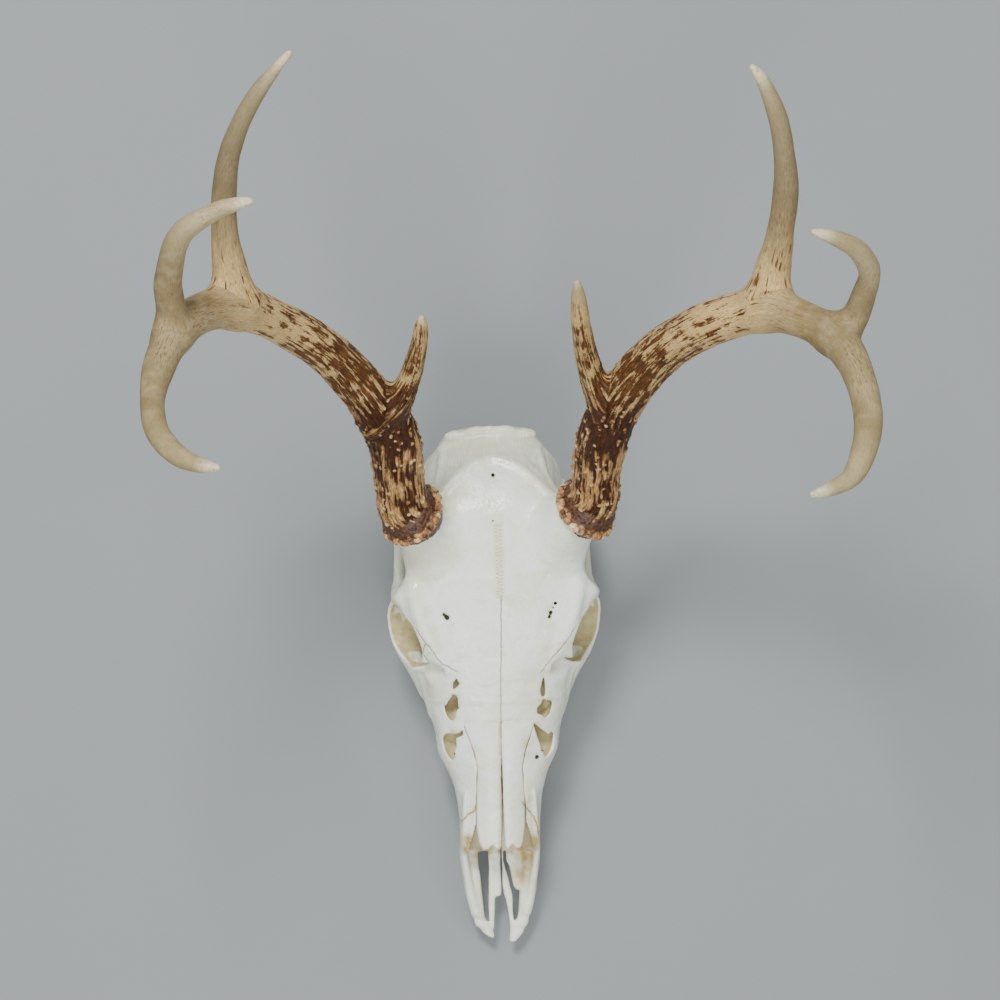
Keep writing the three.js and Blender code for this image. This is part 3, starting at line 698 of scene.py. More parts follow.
def skull_field():
    half = Clay((0, -250, -3), (66, 46, 116), SKULL_PITCH)
    skull_halves(half)
    outer = whole(half)
    skull_holes(half)
    clay = whole(half)
    for outline in VACUITIES:
        bottom = 61 if outline[0][1] > -118 else 52
        clay.cut(prism(outline, bottom, 90, 0.25, 0.4), 0.7)
    clay.cut(rope([(20.6, -139.6, 64, 1), (20, -140, 52, 1.2)]), 0.4)
    clay.cut(rope([(-17.6, -117.5, 72, 0.5), (-18.3, -122, 64, 0.6)]), 0.3)
    clay.cut(rope([(0.2, 13.3, 96, 0.8), (0.2, 13.3, 82, 0.8)]), 0.3)
    clay.cut(rope([(-0.8, -11.1, 99, 0.6), (-0.8, -11.1, 90, 0.6)]), 0.3)
    for x, y, size in BROW_FORAMINA:
        clay.cut(rope([(x, y, 93, size), (x, y, 80, size)]), 0.6)
    # the room that the nasal bones lie in
    mirrored = [(-x, y) for x, y in reversed(NASAL_OUTER_EDGE)]
    room = prism(NASAL_OUTER_EDGE + [(12, -196), (-12, -196)] + mirrored, 40, 90, nasal_joint, 0.2)
    along = clay.low[1] + clay.pitch * np.arange(clay.count[1])
    deep = np.interp(along, [-124, -119, -113], [NASAL_THICKNESS + 0.2, 0.25, -0.6])
    clay.cut(room, 0.2, (-deep[None, :, None] - outer.field).astype(np.float32))
    for rows in (NOSE_WALL, NOSE_SHELF):
        for shape in (loft(rows), flipped(loft(rows))):
            clay.add(shape, 1.6)
            outer.add(shape, 1.6)
    for rows in (RIGHT_TIP, LEFT_TIP):
        clay.add(loft(rows), 2.5)
        outer.add(loft(rows), 2.5)
    for outline in (RIGHT_PLATE, LEFT_PLATE, LEFT_FLOOR):
        clay.add(plate(outline, PLATE_LEVEL, 1.2), 0.8)
    clay.add(loft(VOMER, 2.6), 0.8)
    clay.cut(prism([(0.15, -183), (0.85, -183), (0.85, -240), (0.15, -240)], 5, 26, 0, 0.2), 0.2)
    return clay, outer

# ---------------------------------------------------------------- meshes

BOX_LOW = np.array(CAD_BOX[0]) / MM - SHIFT
BOX_HIGH = np.array(CAD_BOX[1]) / MM - SHIFT


def kept_inside(points, margin=1.6):
    """Presses what comes near the sides of the whole part's box back inside it."""
    points = points.copy()
    sides = ((0, BOX_LOW, -1), (0, BOX_HIGH, 1), (1, BOX_LOW, -1), (1, BOX_HIGH, 1), (2, BOX_HIGH, 1))
    for axis, limit, way in sides:
        over = way * (points[:, axis] - limit[axis]) + margin
        pressed = margin * (1 - np.exp(-np.maximum(over, 0) / margin))
        points[:, axis] -= way * np.where(over > 0, over - pressed, 0)
    points[:, 2] = np.maximum(points[:, 2], 0)
    return points


def make_mesh(name, points, faces, attributes=(), normals=None):
    """A smooth mesh from points in the skull's own millimetres."""
    mesh = bpy.data.meshes.new(name)
    count = faces.shape[1]
    mesh.vertices.add(len(points))
    mesh.vertices.foreach_set("co", ((points + SHIFT) * MM).astype(np.float32).ravel())
    mesh.loops.add(faces.size)
    mesh.loops.foreach_set("vertex_index", faces.astype(np.int32).ravel())
    mesh.polygons.add(len(faces))
    mesh.polygons.foreach_set("loop_start", np.arange(0, faces.size, count, dtype=np.int32))
    mesh.polygons.foreach_set("use_smooth", np.ones(len(faces), bool))
    mesh.update(calc_edges=True)
    mesh.validate()
    for label, values in attributes:
        kind, part = ("FLOAT_VECTOR", "vector") if values.ndim == 2 else ("FLOAT", "value")
        field = mesh.attributes.new(label, kind, "POINT")
        field.data.foreach_set(part, values.astype(np.float32).ravel())
    if normals is not None:
        mesh.normals_split_custom_set_from_vertices(normals)
    piece = bpy.data.objects.new(name, mesh)
    bpy.context.scene.collection.objects.link(piece)
    return piece


def point_normals(points, faces):
    a, b, c, d = (points[faces[:, i]] for i in range(4))
    across = np.cross(c - a, d - b)
    normals = np.stack([
        sum(np.bincount(faces[:, i], across[:, k], len(points)) for i in range(4)) for k in range(3)
    ], axis=1)
    return normals / (np.linalg.norm(normals, axis=1, keepdims=True) + 1e-12)


def relax(points, faces, rounds, strength=0.5):
    """Evens out the steps that the grid leaves."""
    edges = np.concatenate([faces[:, [0, 1]], faces[:, [1, 2]], faces[:, [2, 3]], faces[:, [3, 0]]])
    ends = np.concatenate([edges[:, 0], edges[:, 1]])
    others = np.concatenate([edges[:, 1], edges[:, 0]])
    number = np.bincount(ends, minlength=len(points))[:, None]
    for _ in range(rounds):
        total = np.stack([np.bincount(ends, points[others, k], len(points)) for k in range(3)], axis=1)
        points = points + strength * (total / number - points)
    return points


def pick(faces, chosen):
    """The points that the chosen faces keep, and those faces renumbered."""
    faces = faces[chosen]
    kept, where = np.unique(faces, return_inverse=True)
    return kept, where.reshape(faces.shape)


def both_sides(points, faces):
    """The left side's mesh as it is, then its mirror image for the right side."""
    yield "left", points, faces
    yield "right", points * (-1, 1, 1), faces[:, ::-1]


def place_piece(piece, material, nodes):
    piece.data.materials.append(material)
    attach(piece, "root")
    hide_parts(*nodes)

# ---------------------------------------------------------------- materials

class Nodes:
    """Short names for building a material's nodes."""

    def __init__(self, name):
        self.material = bpy.data.materials.new(name)
        self.material.use_nodes = True
        self.tree = self.material.node_tree
        self.shader = self.tree.nodes["Principled BSDF"]

    def add(self, kind, **inputs):
        node = self.tree.nodes.new(kind)
        for key, value in inputs.items():
            self.plug(node, key, value)
        return node

    def plug(self, node, key, value):
        socket = node.inputs[int(key[1:])] if key[0] == "_" else node.inputs[key]
        if isinstance(value, bpy.types.NodeSocket):
            self.tree.links.new(value, socket)
        else:
            socket.default_value = value

    def field(self, name, kind="Fac"):
        node = self.tree.nodes.new("ShaderNodeAttribute")
        node.attribute_name = name
        return node.outputs[kind]

    def place(self):
        return self.tree.nodes.new("ShaderNodeTexCoord").outputs["Object"]

    def maths(self, operation, a, b=0.0):
        node = self.add("ShaderNodeMath", _0=a, _1=b)
        node.operation = operation
        return node.outputs[0]

    def times(self, a, b):
        return self.maths("MULTIPLY", a, b)

    def minus(self, a, b):
        return self.maths("SUBTRACT", a, b)

    def plus(self, first, *others):
        for other in others:
            first = self.maths("ADD", first, other)
        return first

    def sway(self, value, size):
        """A noise from 0 to 1 as a push either way."""
        return self.times(self.minus(value, 0.5), size)

    def noise(self, vector, scale, detail=3.0, rough=0.5):
        node = self.add("ShaderNodeTexNoise", Vector=vector, Scale=scale, Detail=detail)
        node.inputs["Roughness"].default_value = rough
        return node.outputs["Fac"]

    def range(self, value, low, high, to_low=0.0, to_high=1.0):
        node = self.tree.nodes.new("ShaderNodeMapRange")
        node.interpolation_type = "SMOOTHSTEP"
        keys = ("Value", "From Min", "From Max", "To Min", "To Max")
        for key, v in zip(keys, (value, low, high, to_low, to_high)):
            self.plug(node, key, v)
        return node.outputs[0]

    def mix(self, factor, a, b, blend="MIX"):
        node = self.tree.nodes.new("ShaderNodeMix")
        node.data_type = "RGBA"
        node.blend_type = blend
        for key, value in (("_0", factor), ("_6", a), ("_7", b)):
            if isinstance(value, tuple) and len(value) == 3:
                value = (*value, 1.0)
            self.plug(node, key, value)
        return node.outputs[2]

    def stretch(self, vector, scale):
        node = self.tree.nodes.new("ShaderNodeMapping")
        self.plug(node, "Vector", vector)
        node.inputs["Scale"].default_value = scale
        return node.outputs[0]

    def bump(self, height, strength, distance, normal=None):
        node = self.add("ShaderNodeBump", Height=height, Strength=strength, Distance=distance)
        if normal is not None:
            self.plug(node, "Normal", normal)
        return node.outputs[0]

    def finish(self, colour, roughness, normal):
        self.plug(self.shader, "Base Color", colour)
        self.plug(self.shader, "Roughness", roughness)
        self.plug(self.shader, "Normal", normal)
        return self.material


# The suture down the forehead: turns over a metre's length, its middle and its half width in mm.
ZIGZAG_RATE = 3400.0
ZIGZAG_X = 0.8
ZIGZAG_SWING = 1.5


def bone_material():
    n = Nodes("bleached_bone")
    where = n.place()
    broad = n.noise(where, 16.0, 3.0)
    cloud = n.noise(where, 55.0, 3.0, 0.6)
    fine = n.noise(where, 260.0, 4.0, 0.6)
    pores = n.noise(where, 1100.0, 2.0, 0.5)
    fibres = n.noise(n.stretch(where, (1500.0, 90.0, 300.0)), 1.0, 2.0, 0.6)
    white = n.mix(n.range(broad, 0.38, 0.66), (0.86, 0.91, 0.80), (0.80, 0.83, 0.67))
    white = n.mix(n.range(cloud, 0.5, 0.7, 0.0, 0.6), white, (0.87, 0.93, 0.92))
    white = n.mix(n.range(fine, 0.52, 0.75, 0.0, 0.35), white, (0.70, 0.67, 0.52))
    cream = n.range(n.noise(where, 34.0, 4.0, 0.65), 0.48, 0.64, 0.0, 0.75)
    white = n.mix(cream, white, (0.79, 0.78, 0.59))

    temple = n.field("temple")
    thread = n.range(n.plus(n.times(fibres, 0.4), n.times(cloud, 0.6)), 0.38, 0.64)
    thin = n.mix(thread, (0.56, 0.57, 0.40), (0.76, 0.78, 0.62))
    colour = n.mix(n.times(temple, 0.75), white, thin)

    stain = n.field("stain")
    tan = n.mix(n.range(fine, 0.3, 0.7), (0.62, 0.47, 0.18), (0.40, 0.25, 0.065))
    ragged = n.plus(stain, n.sway(cloud, 0.5))
    colour = n.mix(n.range(ragged, 0.08, 0.85, 0.0, 0.92), colour, tan)

    hollow = n.field("hollow")
    ochre = n.mix(n.range(cloud, 0.35, 0.7), (0.62, 0.53, 0.25), (0.50, 0.39, 0.14))
    ochre = n.mix(n.range(fine, 0.4, 0.75, 0.0, 0.5), ochre, (0.30, 0.18, 0.06))
    colour = n.mix(n.range(hollow, 0.1, 0.8, 0.0, 0.85), colour, ochre)

    wobble = n.sway(n.noise(where, 420.0, 2.0), 1.3)
    seam = n.maths("ABSOLUTE", n.plus(n.field("seam"), wobble))
    line = n.times(n.range(seam, 0.12, 0.5, 1.0, 0.0), n.field("near_seam"))
    colour = n.mix(n.times(line, 0.75), colour, (0.26, 0.21, 0.13))
    edge = n.maths("ABSOLUTE", n.plus(n.field("stained_seam"), wobble))
    near = n.field("near_stained_seam")
    glow = n.times(n.range(edge, 0.2, 1.9, 0.5, 0.0), near)
    colour = n.mix(glow, colour, (0.62, 0.42, 0.16))
    crack = n.times(n.range(edge, 0.08, 0.4, 1.0, 0.0), near)
    colour = n.mix(n.times(crack, 0.8), colour, (0.20, 0.12, 0.05))

    # zigzag suture down the middle of the forehead
    band = n.field("zigzag")
    split = n.tree.nodes.new("ShaderNodeSeparateXYZ")
    n.plug(split, "Vector", where)
    y = n.times(split.outputs[1], ZIGZAG_RATE)
    bend = n.times(n.noise(where, 300.0, 2.0), 9.0)
    teeth = n.maths("SINE", n.plus(y, bend))
    x = n.times(n.minus(split.outputs[0], ZIGZAG_X * MM), 1 / MM)
    swing = n.minus(x, n.times(teeth, ZIGZAG_SWING))
    zigzag = n.times(n.range(n.maths("ABSOLUTE", swing), 0.15, 0.9, 1.0, 0.0), band)
    colour = n.mix(n.times(band, 0.6), colour, (0.76, 0.74, 0.53))
    colour = n.mix(n.times(zigzag, 0.8), colour, (0.46, 0.40, 0.23))

    low = n.minus(1.0, n.maths("MAXIMUM", line, crack))
    normal = n.bump(pores, 0.16, 0.0005)
    normal = n.bump(fine, 0.3, 0.0012, normal)
    normal = n.bump(cloud, 0.35, 0.003, normal)
    normal = n.bump(n.times(fibres, temple), 0.16, 0.0008, normal)
    normal = n.bump(n.minus(low, n.times(zigzag, 0.6)), 0.5, 0.0006, normal)
    rough = n.plus(n.range(cloud, 0.35, 0.65, 0.17, 0.36), n.times(hollow, 0.25))
    n.shader.inputs["Subsurface Weight"].default_value = 0.12
    n.shader.inputs["Subsurface Radius"].default_value = (0.003, 0.003, 0.002)
    n.shader.inputs["Subsurface Scale"].default_value = 1.0
    return n.finish(colour, rough, normal)


def tooth_material():
    n = Nodes("tooth_enamel")
    where = n.place()
    fine = n.noise(n.stretch(where, (420.0, 420.0, 260.0)), 1.0, 3.0, 0.6)
    low = n.field("hollow")
    enamel = n.mix(n.range(fine, 0.35, 0.7), (0.82, 0.79, 0.68), (0.74, 0.67, 0.50))
    brown = n.mix(n.range(fine, 0.3, 0.7), (0.16, 0.085, 0.035), (0.34, 0.21, 0.09))
    colour = n.mix(n.range(low, 0.15, 0.8), enamel, brown)
    normal = n.bump(fine, 0.3, 0.0005)
    return n.finish(colour, n.range(fine, 0.3, 0.7, 0.22, 0.4), normal)


def antler_material():
    n = Nodes("antler")
    flow = n.field("flow", "Vector")
    age = n.field("along")
    tip = n.field("tip")
    relief = n.field("relief")
    pearl = n.field("pearl")
    where = n.place()
    patch = n.noise(where, 22.0, 3.0)
    spots = n.noise(where, 150.0, 3.0)
    grain = n.noise(where, 600.0, 3.0)
    streak = n.noise(flow, 0.6, 5.0, 0.65)
    fine = n.noise(flow, 1.6, 4.0, 0.65)
    hair = n.noise(flow, 3.6, 3.0, 0.6)

    dark = n.mix(n.range(fine, 0.35, 0.65), (0.018, 0.006, 0.0016), (0.092, 0.028, 0.007))
    ridge = n.mix(n.range(hair, 0.38, 0.62), (0.30, 0.13, 0.036), (0.66, 0.42, 0.17))
    high = n.plus(relief, n.sway(streak, 0.9), n.sway(spots, 0.5))
    base = n.mix(n.range(high, 0.53, 0.75), dark, ridge)
    bright = n.mix(n.range(spots, 0.4, 0.6), (0.42, 0.20, 0.07), (0.74, 0.54, 0.30))
    base = n.mix(n.range(pearl, 0.25, 0.6, 0.0, 0.75), base, bright)

    light = n.mix(n.range(hair, 0.38, 0.62), (0.44, 0.27, 0.09), (0.70, 0.51, 0.24))
    brown = n.mix(n.range(fine, 0.35, 0.65), (0.045, 0.015, 0.004), (0.18, 0.072, 0.018))
    worn = n.plus(n.times(streak, 0.55), n.times(relief, 0.25), n.times(fine, 0.30),
                  n.sway(spots, 0.35), n.range(age, 100.0, 260.0, -0.075, 0.06))
    tan = n.mix(n.range(worn, 0.505, 0.555), brown, light)

    pale = n.mix(n.range(patch, 0.35, 0.65), (0.33, 0.26, 0.125), (0.47, 0.39, 0.22))
    dull = n.mix(n.range(patch, 0.35, 0.65), (0.19, 0.135, 0.055), (0.32, 0.25, 0.125))
    grey = n.mix(n.range(tip, 22.0, 78.0), pale, dull)
    grey = n.mix(n.range(spots, 0.45, 0.7, 0.0, 0.4), grey, (0.46, 0.38, 0.21))
    # painted shade: a dark grey-brown laid over the middle of the second tine
    grey = n.mix(n.times(n.field("tine_painted_shade"), 0.6), grey, (0.17, 0.13, 0.065))
    thin = n.times(n.range(fine, 0.52, 0.57), n.range(hair, 0.46, 0.53))
    sparse = n.range(n.plus(patch, n.range(age, 200.0, 330.0, 0.0, -0.12)), 0.40, 0.52)
    thin = n.times(thin, n.plus(n.times(sparse, 0.7), 0.28))
    grey = n.mix(thin, grey, (0.115, 0.048, 0.014))
    ivory = n.mix(n.range(grain, 0.4, 0.7), (0.76, 0.68, 0.48), (0.62, 0.50, 0.29))

    drift = n.plus(age, n.sway(patch, 60.0), n.sway(streak, 70.0))
    colour = n.mix(n.range(drift, 72.0, 104.0), base, tan)
    colour = n.mix(n.range(drift, 190.0, 250.0), colour, grey)
    colour = n.mix(n.range(tip, 2.0, 12.0, 0.8, 0.0), colour, ivory)
    colour = n.mix(n.range(grain, 0.5, 0.75, 0.0, 0.22), colour, (0.10, 0.055, 0.02))
    rugged = n.range(age, 90.0, 240.0, 1.0, 0.25)
    height = n.plus(n.times(fine, 0.6), n.times(hair, 0.4))
    normal = n.bump(n.times(rugged, height), 0.8, 0.002)
    normal = n.bump(spots, 0.25, 0.0012, normal)
    normal = n.bump(grain, 0.2, 0.0005, normal)
    rough = n.plus(n.range(fine, 0.3, 0.7, 0.36, 0.58), n.range(age, 150.0, 260.0, 0.0, 0.05))
    n.shader.inputs["Specular IOR Level"].default_value = 0.25
    return n.finish(colour, rough, normal)


def burr_material():
    n = Nodes("antler_burr")
    where = n.place()
    bead = n.field("bead")
    tone = n.field("tone")
    grain = n.noise(where, 700.0, 3.0)
    patch = n.noise(where, 110.0, 3.0)
    dark = n.mix(n.range(grain, 0.35, 0.65), (0.028, 0.010, 0.003), (0.11, 0.040, 0.012))
    rust = n.mix(n.range(patch, 0.4, 0.6), (0.24, 0.095, 0.026), (0.48, 0.25, 0.085))
    cream = n.mix(n.range(patch, 0.35, 0.65), (0.66, 0.42, 0.17), (0.82, 0.65, 0.38))
    pearl = n.mix(n.range(tone, 0.3, 0.72), rust, cream)
    pearl = n.mix(n.range(grain, 0.48, 0.72, 0.0, 0.6), pearl, (0.12, 0.040, 0.010))
    colour = n.mix(n.range(bead, 0.3, 0.8), dark, pearl)
    normal = n.bump(patch, 0.3, 0.0015)
    normal = n.bump(grain, 0.5, 0.0008, normal)
    return n.finish(colour, n.range(grain, 0.3, 0.7, 0.34, 0.6), normal)


def floor_material():
    n = Nodes("pale_floor")
    where = n.place()
    grain = n.noise(where, 6.0, 2.0)
    colour = n.mix(grain, (0.245, 0.26, 0.262), (0.27, 0.285, 0.287))
    return n.finish(colour, n.range(grain, 0.0, 1.0, 0.85, 0.95), n.bump(grain, 0.02, 0.001))

# ---------------------------------------------------------------- skull pieces

CORONAL_Y = 6.0
OCCIPUT_Y = 18.0
FRONTAL_FRONT_Y = -98.0
CHEEK_FRONT_Y = -101.0
JAW_BACK_Y = -57.0
ORBIT_ROOF_Z = 67.0
CHEEK_X = 41.0

SEAMS = [
    [(2.3, -52), (2.0, -62), (1.9, -75), (1.6, -86), (1.3, -92), (1.1, -104), (0.95, -121)],
    [(-43, -68), (-39, -74.5), (-35.8, -78.5), (-32.6, -83.5), (-30, -86.6), (-26, -88.8),
     (-22.6, -91)],
    [(-39, -76), (-40.3, -80.7), (-37.5, -85.1)],
    [(41, -70), (38, -75.4), (34, -80), (30.1, -84.4), (26.1, -89), (23.2, -93.2)],
]
STAINED_SEAMS = [
    [(-13.4, -165.5), (-14.5, -168.4), (-18.2, -170.8), (-21.8, -174.9), (-23.6, -180)],
    [(12, -164.5), (14.3, -168), (18.4, -173.6), (20, -178.7), (20.4, -183)],
]
# Stains: x, y, z, reach, strength.
STAINS = [
    (-17.5, -186, 44, 5, 1), (-17.6, -190, 40, 6, 0.9), (16, -188, 42, 7, 1),
    (14.5, -196, 24, 8, 0.8),
    (12, -208, 20, 7, 0.7), (-12, -194, 23, 5, 0.8), (-14, -200, 22, 5, 0.5), (-9, -196, 24, 4, 0.5),
    (-9.5, -231, 15, 3.5, 0.5), (9.4, -213, 19, 4, 0.5), (-21.5, -103, 70, 4, 0.5),
    (24, -117, 64, 4, 0.5),
    (-25.5, -116, 66, 4.5, 0.5), (-24, -125, 62, 4, 0.5), (21, -122, 66, 4, 0.5),
    (15.5, -132, 66, 6, 0.45),
    (16, -138, 64, 5, 0.35), (-15, -134, 66, 4, 0.3), (15.5, -164, 52, 5, 0.45),
    (-15.5, -166, 51, 3.5, 0.3),
    (28, -58, 88, 4, 0.35), (27, -67, 86, 5, 0.4), (-28, -58, 88, 4, 0.3), (-25, -68, 86, 5, 0.3),
    (-36, -25, 92, 8, 0.5), (37, -25, 92, 7, 0.3), (-30, -18, 95, 5, 0.3), (-37, -89, 68, 4, 0.3),
    (-12, -193, 23, 3.4, 1), (-6, -193, 23, 3.2, 0.9), (0, -193, 23, 3, 0.8), (6, -193, 23, 3.2, 0.9),
    (12, -193, 23, 4, 1), (16.5, -192, 24, 4, 0.9), (15.5, -203, 22, 4, 0.8),
    (13, -211, 19, 3.5, 0.7),
    (0, 12, 92, 9, 0.26), (14, 2, 95, 7, 0.26), (-15, 3, 95, 7, 0.26),
]


def nearest_line(points, lines):
    """Signed distance in plan to the nearest of the open lines, one sign on each side."""
    best = np.full(len(points), 1e3)
    signed = np.full(len(points), 1e3)
    x, y = points[:, 0], points[:, 1]
    for line in lines:
        for (ax, ay), (bx, by) in zip(line[:-1], line[1:]):
            ex, ey = bx - ax, by - ay
            t = np.clip(((x - ax) * ex + (y - ay) * ey) / (ex * ex + ey * ey), 0, 1)
            away = np.hypot(x - ax - t * ex, y - ay - t * ey)
            side = np.sign((x - ax) * ey - (y - ay) * ex)
            nearer = away < best
            best = np.where(nearer, away, best)
            signed = np.where(nearer, away * side, signed)
    return signed


def bone_looks(points, normals, outer, tint):
    """The attributes that the bone material reads, for every point."""
    x, y, z = points.T
    depth = -outer.at(points)
    hollow = smooth_step(1.6, 0.5, tint.at(points)) * smooth_step(0.4, 1.6, depth)
    hollow = np.maximum(hollow, 0.6 * smooth_step(4, 10, depth))
    stain = np.zeros(len(points))
    for sx, sy, sz, reach, strength in STAINS:
        away = (x - sx) ** 2 + (y - sy) ** 2 + (z - sz) ** 2
        stain = np.maximum(stain, strength * np.exp(-away / reach ** 2))
    crown = np.interp(np.abs(x), [0, 14, 29, 40], [21.5, 16.5, 3, -6])
    temple = smooth_step(-4, 6, y - crown) * smooth_step(30, 50, z)
    side = smooth_step(26, 33, np.abs(x)) * smooth_step(-40, -10, y) * smooth_step(80, 70, z)
    temple = np.maximum(temple, side * 0.7)
    upward = smooth_step(0.0, 0.3, normals[:, 2]) * (z > 30)
    seam = nearest_line(points, SEAMS)
    stained = nearest_line(points, STAINED_SEAMS)
    zigzag = smooth_step(3.6, 2.4, np.abs(x - 1.6)) * smooth_step(-54, -50, y) * smooth_step(-10, -14, y)
    return [
        ("hollow", hollow * np.maximum(smooth_step(10, 40, z), 0.4)), ("stain", stain),
        ("temple", temple),
        ("zigzag", zigzag * (z > 84)), ("seam", seam), ("stained_seam", stained),
        ("near_seam", smooth_step(2.4, 1.4, np.abs(seam)) * upward),
        ("near_stained_seam", smooth_step(3.2, 2.2, np.abs(stained)) * upward),
    ]


def bone_names(middles):
    """Which bone each face belongs to, by the same cuts as the solids."""
    x, y, z = middles.T
    across = np.abs(x)
    left = x > np.where(y < -186, 0.6, 0)
    names = np.full(len(middles), "upper_jaw_right", dtype=object)
    names[left] = "upper_jaw_left"
    front = y < np.interp(across, [12, 14.5, 18.2, 21.8, 24], [-192, -168.4, -171, -175, -181])
    front &= y < np.interp(z, [18, 30, 50], [-192, -184, -160])
    names[front & left] = "premaxilla_left"
    names[front & ~left] = "premaxilla_right"
    names[y > JAW_BACK_Y] = "braincase"
    names[y > OCCIPUT_Y] = "occiput"
    cheek = (across > CHEEK_X) & (y > CHEEK_FRONT_Y) & (y < CORONAL_Y) & (z < ORBIT_ROOF_Z)
    names[cheek & left] = "cheek_bone_left"
    names[cheek & ~left] = "cheek_bone_right"
    names[(y > FRONTAL_FRONT_Y) & (y < CORONAL_Y) & (z > ORBIT_ROOF_Z)] = "frontal_bones"
    return names


def weathered(points, faces):
    """Small unevenness of the bone's surface."""
    rise = 0.45 * noise(points / 17.0, 3) + 0.2 * noise(points / 6.5, 4) + 0.06 * noise(points / 2.4, 5)
    return points + point_normals(points, faces) * rise[:, None]


def build_skull(material):
    clay, outer = skull_field()
    tint = stained_hollows()
    points, faces = clay.surface()
    points = kept_inside(weathered(relax(points, faces, 2), faces), 0.3)
    normals = point_normals(points, faces)
    looks = bone_looks(points, normals, outer, tint)
    names = bone_names(points[faces].mean(axis=1))
    for name in sorted(set(names)):
        kept, part = pick(faces, names == name)
        attributes = [(label, values[kept]) for label, values in looks]
        piece = make_mesh(f"{name}_surface", points[kept], part, attributes, normals[kept])
        place_piece(piece, material, [name])
    return outer, tint


def build_nasals(material, outer, tint):
    """The two nasal bones: thin plates, each a little arched, with free tips in front."""
    outline = NASAL_OUTER_EDGE + NASAL_TIPS
    clay = Clay(*NASAL_ROOM, NASAL_PITCH)
    face_and_forehead(clay)
    x, y, z = clay.window(*NASAL_ROOM)[1:]
    width = np.interp(y[0, :, 0], [-190, -178, -145, -123, -108, -92], [12, 13.3, 12.4, 18.4, 22, 12])
    width = width[None, :, None]
    arch = np.clip(1 - ((x - width / 2) / (width / 2)) ** 2, 0, 1) * smooth_step(-110, -135, y)
    sunk = np.interp(y, [-122, -113], [0.0, 1.0]) + 0.15 * (y > -122)
    plate = soft_max(clay.field - NASAL_ARCH * arch + sunk, -NASAL_THICKNESS - clay.field, 0.8)
    edge = np.interp(y, [-128, -118], [0.9, 0.1])
    clay.field = soft_max(plate, prism(outline, 38, 86)[2](x, y, z), edge).astype(np.float32)
    points, faces = clay.surface()
    points = relax(points, faces, 2)
    for side, points, faces in both_sides(points, faces):
        shape = weathered(points, faces)
        shape[:, 0] += NASAL_LEAN * np.clip(1 - np.abs(shape[:, 0]) / 12, 0, 1)
        normals = point_normals(shape, faces)
        looks = dict(bone_looks(shape, normals, outer, tint))
        looks["hollow"] = smooth_step(0.1, -0.5, normals[:, 2]) * 0.9
        rim = smooth_step(1.4, 0.2, -plan_distance(outline, np.abs(shape[:, 0]), shape[:, 1]))
        looks["stain"] = np.maximum(looks["stain"], 0.4 * rim * smooth_step(-98, -120, shape[:, 1]))
        piece = make_mesh(f"nasal_bone_{side}_surface", shape, faces, list(looks.items()), normals)
        place_piece(piece, material, [f"nasal_bone_{side}"])


def build_teeth(material):
    """Six cheek teeth a side, the molars with two lobes, ribbed outside and pitted below."""
    ys = [r[0] for r in reversed(ALVEOLAR_RIDGE)]
    xs = [r[1] for r in reversed(ALVEOLAR_RIDGE)]
    clay = Clay((8, -161, -2), (42, -76, 25), TOOTH_PITCH)
    front = TEETH_FRONT_Y
    lobes = []
    for number, (length, width) in enumerate(CHEEK_TEETH):
        count = 1 if number < PREMOLARS else 2
        size = length / count
        for lobe in range(count):
            y = front + size * (lobe + 0.5)
            lobes.append((float(np.interp(y, ys, xs)), y, size, width))
        front += length
    for x, y, size, width in lobes:
        clay.add(block((x, y, 7), (width / 2 - 0.4, size / 2 - 0.15, 7.4), 2.2), 0.3)
        clay.add(block((x - 0.5, y, 15), (width / 2 - 1.6, size / 2 - 0.8, 8), 2), 1.5)
        for rib in (-0.45, 0.0, 0.45):
            outward = x + width / 2 - 0.9
            clay.add(rope([(outward - 0.6, y + rib * size, 16, 0.5),
                           (outward, y + rib * size, 8, 0.9),
                           (outward + 0.2, y + rib * size, 0.6, 0.8)], step=0.5), 0.8)
    for x, y, size, width in lobes:
        clay.cut(hoop((x + width * 0.12, y, 0.4), (0, 0, 1), size * 0.28, 0.7, 2.4), 0.5)
        clay.cut(egg((x - width * 0.27, y, -0.4), (1.2, size * 0.24, 2.6)), 0.5)
    clay.cut(below(0.0), 0)
    points, faces = clay.surface()
    points = relax(points, faces, 2)
    for side, points, faces in both_sides(points, faces):
        normals = point_normals(points, faces)
        z = points[:, 2]
        gaps = smooth_step(0.5, 0.95, np.abs(normals[:, 1])) * 0.8
        pits = smooth_step(0.25, 1.2, z) * smooth_step(-0.2, -0.7, normals[:, 2])
        hollow = np.maximum(np.maximum(gaps, pits), smooth_step(8, 13, z) * 0.6)
        shape = points.copy()
        shape[:, 2] = np.maximum(z, 0)
        piece = make_mesh(f"cheek_teeth_{side}", shape, faces, [("hollow", hollow)], normals)
        place_piece(piece, material, [f"upper_jaw_{side}"])

# ---------------------------------------------------------------- antlers

def limb_frames(rows, start, step=0.04):
    """Points along a limb with two side axes, distance from the root and distance to the tip."""
    line = samples(rows, start, None, step)
    ahead = np.gradient(line[:, :3], axis=0)
    ahead /= np.linalg.norm(ahead, axis=1, keepdims=True)
    side = np.cross(ahead, np.array([0, 0, 1.0]))
    side /= np.linalg.norm(side, axis=1, keepdims=True)
    over = np.cross(side, ahead)
    gone = np.concatenate([[0], np.cumsum(np.linalg.norm(np.diff(line[:, :3], axis=0), axis=1))])
    return line, side, over, gone, gone[-1] - gone


